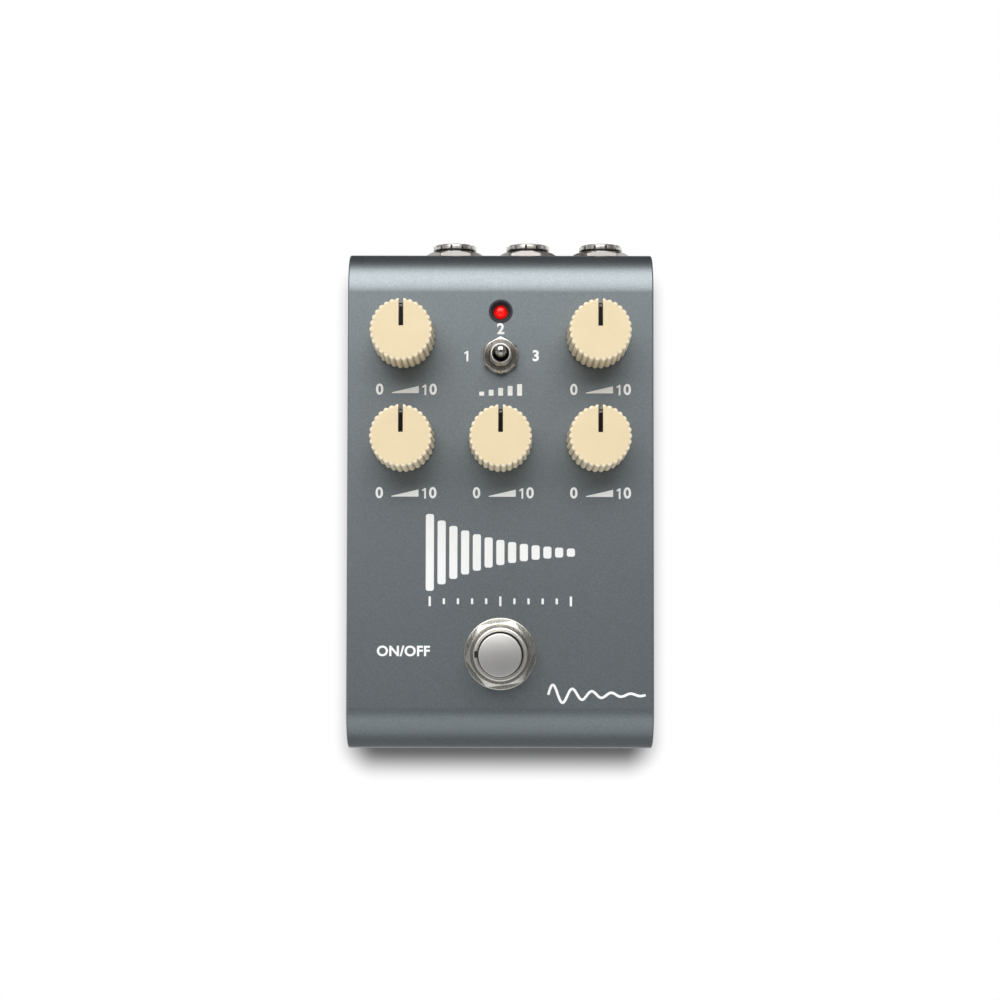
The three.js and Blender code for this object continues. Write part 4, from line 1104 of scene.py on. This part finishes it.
class PEDAL_OT_jacks(PieceOperator, bpy.types.Operator):
    """Audio jacks: moulded bodies with threaded noses, hexagon nuts and notched rings"""

    bl_idname = "pedal.jacks"
    bl_label = "Audio Jacks"

    ring_turns = (0.9, 4.1, 2.3, 5.2)
    nut_turns = (0.06, -0.08, 0.03, 0.8)

    def execute(self, context):
        for number, jack in enumerate(JACKS):
            x, _, z = middle_of(f"{jack}_ring")
            add_piece(f"{jack}_moulding", [rearward(p, x, z) for p in self.body()], "black", "jack_plastic",
                      [f"{jack}_body"], sharp_degrees=40)
            nut = ring_part(nut_grid(flats=6.0, bore=4.7, low=0, high=1.9, corner_turn=self.nut_turns[number],
                                     flange=(6.95, 0.5)), wrap_rows=True)
            add_piece(f"{jack}_hex", [rearward(nut, x, z)], "jack_nut", "nickel_plate", [f"{jack}_nut"],
                      bevel=0.06, sharp_degrees=25)
            ring = self.ring(self.ring_turns[number])
            add_piece(f"{jack}_collar", [rearward(ring, x, z)], "ring", "chrome_plate", [f"{jack}_ring"],
                      bevel=0.05)
        return {"FINISHED"}

    def body(self):
        """A rounded box behind the wall and a nose turned about its axis, with a thread up to the ring and a
        black band under the ring that shows in the ring's notches as painted shade."""
        end, deep = 2.6, -27
        bore, spigot, outer, pitch = 3.25, 3.9, 4.6, 0.794
        profile = rounded([(bore, deep, 0), (bore, end + 0.7, 0.15), (spigot, end + 0.7, 0.1),
                           (spigot, end, 0)], 4).tolist()
        profile += [[4.45, end], [outer, end - 0.15]] + thread_rows(outer, end - 0.2, -SHEET, -pitch)
        profile += [[outer, -2.6], [outer, deep]]
        push = thread(-SHEET, end - 0.05, pitch, depth=0.36, outside=4.4)
        nose = spun(profile, 112, push, wrap_rows=True)
        # A black band under the ring's notches, standing in for the shade down in them: painted shade.
        inside, sleeve_low, sleeve_high = 3.85, 2.7, 3.4
        shade_sleeve = spun([(inside, sleeve_low), (outer, sleeve_low), (outer, sleeve_high), (inside, sleeve_high)],
                      96, wrap_rows=True)
        box = rounded_box(width=15.9, depth=12.3, low=-28, high=-SHEET, radius=0.4)
        return [box, nose, shade_sleeve]

    def ring(self, turn):
        """A ring turned about its axis; twelve notches draw its outer side in, each with steep flanks."""
        low, high, spigot, outer, face, lip = 2.6, 3.7, 4.0, 4.95, 4.55, 3.35
        count, depth, half_width, flank, cut_from, cut_ramp = 12, 0.7, 0.2, 0.06, 4.1, 0.4
        profile = rounded([(spigot, low, 0.05), (outer, low, 0.08), (outer, high - 0.22, 0.03),
                           (face, high, 0.05), (lip, high, 0.12), (lip, high - 0.3, 0),
                           (spigot, high - 0.3, 0)], 4, True)

        def notches(radius, height, angle):
            share = ((angle - turn) * count / TAU + 0.5) % 1 - 0.5
            away = np.abs(share) * TAU / count * outer
            cut = np.clip((half_width - away) / flank + 0.5, 0, 1)
            return -depth * cut * np.clip((radius - cut_from) / cut_ramp, 0, 1)

        return spun(profile, 480, notches, wrap_rows=True)


class PEDAL_OT_sockets(PieceOperator, bpy.types.Operator):
    """Power socket and data port"""

    bl_idname = "pedal.sockets"
    bl_label = "Power Socket and Data Port"

    def execute(self, context):
        bore, outer, neck, face, step, deep = 3.1, 4.1, 3.6, -0.3, -3.0, -9.6
        nose = rounded([(bore, deep, 0), (bore, face, 0.25), (outer, face, 0.3), (outer, step, 0),
                        (neck, step, 0), (neck, deep, 0)], 5, True)
        housing = rounded_box(width=9, depth=11, low=-15.5, high=-2.4, radius=0.3, middle=(0, -0.7))
        parts = [spun(nose, 80, wrap_rows=True), housing]
        add_piece("power_moulding", [rearward(p, POWER_X, POWER_Z) for p in parts], "black", "jack_plastic",
                  ["power_socket"], sharp_degrees=40)
        radius, root, tip = 1.05, -10, -1.6
        pin = rounded([(0, root, 0), (radius, root, 0), (radius, tip, 0.5), (0, tip, 0)], 6)
        pin = rearward(spun(pin, 32), POWER_X, POWER_Z)
        add_piece("power_pin", [pin], "nickel", "nickel_plate")
        x, _, z = middle_of("data_port")
        outer, inner = stadium(width=8.94, height=3.2), stadium(width=8.3, height=2.56)
        eased, back, floor = -0.38, -8.8, -6.8
        levels = [(outer, back), (outer, eased), (outer * 0.99, face), (inner * 1.01, face),
                  (inner, eased), (inner, floor)]
        grid = np.array([np.column_stack([line, np.full(len(line), level)]) for line, level in levels])
        shell = ring_part(grid, cap_first=True, cap_last=True)
        add_piece("port_shell", [rearward(shell, x, z)], "steel", "shaft_steel", ["data_port"],
                  sharp_degrees=50)
        tongue = rounded_box(width=6.7, depth=0.7, low=-6.9, high=-1.1, radius=0.15)
        add_piece("port_tongue", [rearward(tongue, x, z)], "black", "jack_plastic")
        return {"FINISHED"}


class PEDAL_OT_boards(PieceOperator, bpy.types.Operator):
    """Finishes of the circuit boards and the header between them"""

    bl_idname = "pedal.boards"
    bl_label = "Circuit Boards"

    def execute(self, context):
        dress("main_board", "board")
        dress("lower_board", "board")
        dress("board_header", "black")
        return {"FINISHED"}


FIGURE_SIZE = 3.3
PRINT_LEFT = -15.6


class PEDAL_OT_panel_print(PieceOperator, bpy.types.Operator):
    """White print: plain numbers, a scale, level bars and a fading row of echo bars"""

    bl_idname = "pedal.panel_print"
    bl_label = "Panel Print"

    def execute(self, context):
        height = context.scene.pedal_sizes.print_height / MM
        self.levels = [(PANEL_TOP - 0.02, 1), (PANEL_TOP + height, 1)]
        groups = {
            "print_dial_scales": [part for name in CONTROLS for part in self.dial_scale(name)],
            "print_toggle_numbers": self.toggle_numbers(),
            "print_level_bars": self.level_bars(0.0, 24.2 + CASE_MIDDLE[1]),
            "print_echo_bars": self.echo_bars(),
            "print_ruler": self.ruler(),
            "print_switch_words": self.switch_words(),
            "print_wave": self.wave(),
        }
        for name, parts in groups.items():
            add_piece(name, parts, "print", "case_sheet")
        return {"FINISHED"}

    def flat(self, outline):
        return raised(outline, self.levels)

    def bar(self, x, y, width, height, radius):
        """A rounded bar whose middle is at (x, y)."""
        w, h = width / 2, height / 2
        return self.flat(rounded([(x + w, y - h, radius), (x + w, y + h, radius), (x - w, y + h, radius),
                                  (x - w, y - h, radius)], 5, True))

    def text(self, words, x, y, size=FIGURE_SIZE):
        """Plain figures or words made into a mesh part whose middle is at (x, y)."""
        curve = bpy.data.curves.new("print_text", "FONT")
        curve.body, curve.size = words, size
        curve.align_x = curve.align_y = "CENTER"
        curve.offset, curve.extrude = 0.03 * size, (self.levels[1][0] - self.levels[0][0]) / 2
        curve.space_character = 1.06
        obj = linked("print_text", curve)
        mesh = evaluated(obj, "print_text")
        points = np.zeros(len(mesh.vertices) * 3)
        mesh.vertices.foreach_get("co", points)
        points = points.reshape(-1, 3)
        points[:, 2] += (self.levels[1][0] + self.levels[0][0]) / 2
        faces = [list(face.vertices) for face in mesh.polygons]
        bpy.data.objects.remove(obj)
        bpy.data.curves.remove(curve)
        bpy.data.meshes.remove(mesh)
        return points + (x, y, 0), faces

    def figure_one(self, x, y, size=FIGURE_SIZE):
        """A plain figure 1: an upright stem whose middle is at (x, y), and a slanting flag at its top left."""
        stem, tall = 0.062 * size, 0.355 * size
        outline = np.array([(stem, -tall), (stem, tall), (-0.5 * stem, tall), (-3.6 * stem, 0.62 * tall),
                            (-2.9 * stem, 0.36 * tall), (-stem, 0.60 * tall), (-stem, -tall)])
        return self.flat(outline + (x, y))

    def dial_scale(self, name):
        """0, a wedge that grows to the right, and 10, under a knob."""
        x, y, _ = middle_of(f"knob_{name}")
        below_knob, half_length, below, above, corner = 11.7, 3.4, 0.75, 0.85, 0.12
        y -= below_knob
        wedge = rounded([(x - half_length, y - below, 0.1), (x + half_length, y - below, corner),
                         (x + half_length, y + above, corner)], 4, True)
        left_zero, one, right_zero = x - 5.3, x + 4.85, x + 6.55
        return [self.text("0", left_zero, y), self.flat(wedge), self.figure_one(one, y),
                self.text("0", right_zero, y)]

    def toggle_numbers(self):
        x, y, _ = middle_of("toggle_nut")
        return [self.figure_one(x - 7.4, y), self.text("2", x, y + 6.0), self.text("3", x + 7.8, y)]

    def level_bars(self, x, y):
        """Five bars that grow from left to right."""
        lowest, highest, spacing = 0.9, 2.6, 2.1
        heights = np.linspace(lowest, highest, 5)
        return [self.bar(x + spacing * (i - 2), y - highest / 2 + h / 2, width=1.1, height=h, radius=0.15)
                for i, h in enumerate(heights)]

    def echo_bars(self):
        """Thirteen rounded bars in a row, each 0.83 times as high as the one before it."""
        y, count, first_height, fade, spacing = CASE_MIDDLE[1] - 11.9, 13, 17.0, 0.83, 2.6
        place = np.arange(count)
        height = first_height * fade**place
        x = PRINT_LEFT + spacing * place
        return [self.bar(cx, y, width=1.8, height=h, radius=0.5) for cx, h in zip(x, height)]

    def ruler(self):
        """A fine scale of eleven marks, the first, middle and last one longer."""
        y, spacing, long, short = CASE_MIDDLE[1] - 22.7, 3.12, 2.2, 1.3
        return [self.bar(PRINT_LEFT + spacing * i, y, width=0.5, height=short if i % 5 else long, radius=0.12)
                for i in range(11)]

    def switch_words(self):
        return [self.text("ON/OFF", -21.4, CASE_MIDDLE[1] - 33.8, 3.1)]

    def wave(self):
        """A ribbon of constant width along y = a exp(-x / fade) sin(k x), which dies away to the right."""
        length, first_height, fade, wavelength, half_width = 21.5, 2.5, 8.5, 4.3, 0.28
        x = np.linspace(0, length, 160)
        y = first_height * np.exp(-x / fade) * np.sin(TAU * x / wavelength)
        slope = np.gradient(y, x)
        across = np.stack([-slope, np.ones_like(slope)], -1) / np.hypot(slope, 1)[:, None]
        line = np.stack([x + 10.6, y + CASE_MIDDLE[1] - 43.3], -1)
        upper, lower = line + across * half_width, line - across * half_width
        rows = np.array([np.column_stack([edge, np.full(len(edge), level)])
                         for edge, level in ((lower, self.levels[0][0]), (lower, self.levels[1][0]),
                                             (upper, self.levels[1][0]), (upper, self.levels[0][0]))])
        return [ring_part(rows.transpose(1, 0, 2), cap_first=True, cap_last=True)]


class PEDAL_OT_stage(PieceOperator, bpy.types.Operator):
    """Floor, soft light and the camera above the pedal"""

    bl_idname = "pedal.stage"
    bl_label = "Stage and Camera"

    def execute(self, context):
        context.scene.view_settings.view_transform = "Standard"
        self.floor()
        self.world(context.scene)
        self.key_light(context.scene.pedal_sizes.key_power)
        self.flag("front_flag", -1, 10, 0.34)
        self.flag("rear_flag", 1, 8, 0.08)
        self.camera(context.scene)
        return {"FINISHED"}

    def placed(self, name, mesh, material):
        """A piece of the stage with its material."""
        obj = linked(name, mesh)
        mesh.materials.append(material)
        return obj

    def glowing(self, look, strength):
        """A plain light of its own for a stage material."""
        return look.joined("ShaderNodeEmission", Color=(1, 1, 1, 1), Strength=strength).outputs[0]

    def seen(self, wiring):
        """1 for rays from the camera, from a reflection or through a clear body, otherwise 0."""
        path = wiring.nodes.new("ShaderNodeLightPath").outputs
        mirrored = wiring.maths(path["Is Glossy Ray"], path["Is Transmission Ray"], "MAXIMUM")
        return path["Is Camera Ray"], mirrored

    def floor(self):
        """A wide floor, dark grey round the case as a painted shadow, that also keeps the rendered shadow; away
        from the case, seen directly or mirrored, it is plain white.

        The white comes in as a smooth step of the distance from a rectangle inside the footprint, which
        reaches as far as the case only at the front, where the shadow falls and the painted shadow reaches
        furthest.
        """
        half_size, inward, white_from, white_at = 6000.0, 4.1, 2.6, 10.8
        share = np.linspace(-1, 1, 3) * half_size
        x, y = np.meshgrid(share, share)
        grid = np.stack([x, y, np.zeros_like(x)], -1)
        # Dark grey next to the case: a painted shadow, faded out by the white step.
        look = Finish("floor_painted_shadow", (0.31, 0.31, 0.31), 0.9, 0.0)
        side = look.maths(coordinate(look, "X"), (inward - CASE_HIGH[0]) * MM)
        end = look.maths(coordinate(look, "Y", CASE_MIDDLE[1] - inward / 2),
                          (inward / 2 + CASE_MIDDLE[1] - CASE_HIGH[1]) * MM)
        away = look.nodes.new("ShaderNodeVectorMath")
        away.operation = "LENGTH"
        pair = look.joined("ShaderNodeCombineXYZ", X=look.maths(side, 0.0, "MAXIMUM"),
                           Y=look.maths(end, 0.0, "MAXIMUM"))
        look.links.new(pair.outputs["Vector"], away.inputs[0])
        far = look.mapped(away.outputs["Value"], white_from * MM, white_at * MM, 0, 1, "SMOOTHSTEP")
        mix = look.nodes.new("ShaderNodeMixShader")
        shown = look.maths(far, look.maths(*self.seen(look), "MAXIMUM"), "MULTIPLY")
        for socket, value in zip(mix.inputs, (shown, look.shader.outputs[0], self.glowing(look, 1.0))):
            look.links.new(value, socket)
        look.links.new(mix.outputs[0], look.nodes["Material Output"].inputs["Surface"])
        faces = grid_faces(3, 3, False, False).tolist()
        self.placed("floor", build_mesh("floor", [(grid, faces)]), look.material)

    def flag(self, name, side, rise, strength):
        """A dark card in front of or behind the pedal, seen only in reflections: it lies on the floor and
        curls up, its height growing as the square of its distance up to an angle of rise degrees."""
        near, far, half_width, lift = 75.0, 1100.0, 900.0, 0.6
        share = np.linspace(0, 1, 24)
        y = side * (near + (far - near) * share) + CASE_MIDDLE[1]
        z = lift + (far - near) * math.tan(math.radians(rise)) * share**2
        grid = np.stack([np.column_stack([np.full_like(y, x), y, z]) for x in (-half_width, half_width)], 1)
        look = Finish(f"{name}_cloth", (0.1, 0.1, 0.1), 1.0)
        look.links.new(self.glowing(look, strength), look.nodes["Material Output"].inputs["Surface"])
        mesh = build_mesh(name, [(grid, grid_faces(24, 2, False, False).tolist())])
        obj = self.placed(name, mesh, look.material)
        obj.visible_camera = obj.visible_diffuse = obj.visible_shadow = obj.visible_transmission = False

    def world(self, scene):
        """White where it is looked at. In reflections a dome that is light from the horizon up and dark right
        overhead, lifted in front and less so behind, changed a little low in front, and dimmed at both sides
        above the horizon, most on the right. As light an even grey, with more of it in front."""
        world = bpy.data.worlds.new("studio")
        scene.world = world
        world.use_nodes = True
        wiring = Wiring(world.node_tree)
        direction = wiring.joined("ShaderNodeSeparateXYZ",
                                  Vector=wiring.nodes.new("ShaderNodeTexCoord").outputs["Generated"]).outputs
        dome = wiring.nodes.new("ShaderNodeValToRGB")
        wiring.links.new(direction["Z"], dome.inputs["Fac"])
        stops = ((0.0, 0.8), (0.12, 0.8), (0.25, 0.6), (0.45, 0.95), (0.78, 0.93), (0.88, 0.5), (0.94, 0.2),
                 (1.0, 0.05))
        while len(dome.color_ramp.elements) < len(stops):
            dome.color_ramp.elements.new(0.5)
        for element, (place, grey) in zip(dome.color_ramp.elements, stops):
            element.position, element.color = place, (grey, grey, grey, 1)

        def step(axis, *levels):
            return wiring.mapped(direction[axis], *levels, "SMOOTHSTEP")

        behind = step("Y", 0.02, 0.35, 0, 0.42)
        ahead = step("Y", -0.28, -0.5, 0, 1.0)
        lifted = wiring.maths(wiring.maths(behind, ahead), dome.outputs["Color"], "MAXIMUM")
        low_front = step("Y", -0.62, -0.9, 1.25, 0.95)
        bright = wiring.maths(lifted, low_front, "MULTIPLY")
        right = step("X", 0.25, 0.75, 0, 0.88)
        left = step("X", -0.25, -0.75, 0, 0.70)
        above = step("Z", 0.1, 0.3, 0, 1)
        kept = wiring.maths(1.0, wiring.maths(wiring.maths(right, left), above, "MULTIPLY"), "SUBTRACT")
        mirror = wiring.maths(bright, kept, "MULTIPLY")
        fill = wiring.maths(0.18, step("Y", -0.2, -0.9, 0, 1.5))
        camera, mirrored = self.seen(wiring)
        strength = wiring.blended(camera, wiring.blended(mirrored, fill, mirror), 1.0)
        wiring.fed(wiring.nodes["Background"].inputs["Strength"], strength)
        wiring.nodes["Background"].inputs["Color"].default_value = (1, 1, 1, 1)

    def key_light(self, power):
        """One large soft light, overhead, to the rear and a little to the left, aimed at the panel."""
        data = bpy.data.lights.new("key_light", "AREA")
        data.shape, data.energy = "RECTANGLE", power
        data.size, data.size_y = 1.4, 1.4
        data.color = (1.0, 0.98, 0.955)
        obj = linked("key_light", data)
        lean, distance, left = math.radians(44.7), 1.15, -0.10
        away = Vector((left, distance * math.sin(lean), distance * math.cos(lean)))
        obj.location = away + Vector((0, 0, PANEL_TOP * MM))
        obj.rotation_euler = away.to_track_quat("Z", "Y").to_euler()

    def camera(self, scene):
        """A long lens half a metre over the panel, leaning very slightly to the rear."""
        data = bpy.data.cameras.new("camera")
        data.lens, data.sensor_width = 84.07, 36.0
        data.clip_start, data.clip_end = 0.01, 20.0
        obj = linked("camera", data)
        place, lean, roll = (-0.0001, -0.02676, 0.5666), math.radians(2.73), math.radians(0.093)
        obj.matrix_world = (Matrix.Translation(place) @ Matrix.Rotation(lean, 4, "X")
                            @ Matrix.Rotation(roll, 4, "Z"))
        scene.camera = obj


OPERATORS = (
    PEDAL_OT_stage, PEDAL_OT_case_sheet, PEDAL_OT_base_tray, PEDAL_OT_fasteners, PEDAL_OT_knobs,
    PEDAL_OT_potentiometers, PEDAL_OT_toggle, PEDAL_OT_footswitch, PEDAL_OT_status_light, PEDAL_OT_jacks,
    PEDAL_OT_sockets, PEDAL_OT_boards, PEDAL_OT_panel_print,
)


class PEDAL_PT_sidebar(bpy.types.Panel):
    """Lists the pedal's pieces, sizes and colours"""

    bl_idname = "PEDAL_PT_sidebar"
    bl_label = "Delay Pedal"
    bl_space_type = "VIEW_3D"
    bl_region_type = "UI"
    bl_category = "Pedal"

    def draw(self, context):
        for group in (context.scene.pedal_sizes, context.scene.pedal_colours):
            box = self.layout.box()
            for name in type(group).__annotations__:
                box.prop(group, name)
        for operator in OPERATORS:
            self.layout.operator(operator.bl_idname)


CLASSES = (PedalSizes, PedalColours, *OPERATORS, PEDAL_PT_sidebar)


def register():
    for entry in CLASSES:
        bpy.utils.register_class(entry)
    bpy.types.Scene.pedal_sizes = PointerProperty(type=PedalSizes)
    bpy.types.Scene.pedal_colours = PointerProperty(type=PedalColours)


def unregister():
    del bpy.types.Scene.pedal_colours
    del bpy.types.Scene.pedal_sizes
    for entry in reversed(CLASSES):
        bpy.utils.unregister_class(entry)


def main():
    register()
    for operator in OPERATORS:
        group, name = operator.bl_idname.split(".")
        result = getattr(getattr(bpy.ops, group), name)()
        if result != {"FINISHED"}:
            raise RuntimeError(f"{operator.bl_idname} did not finish")


if __name__ == "__main__":
    main()
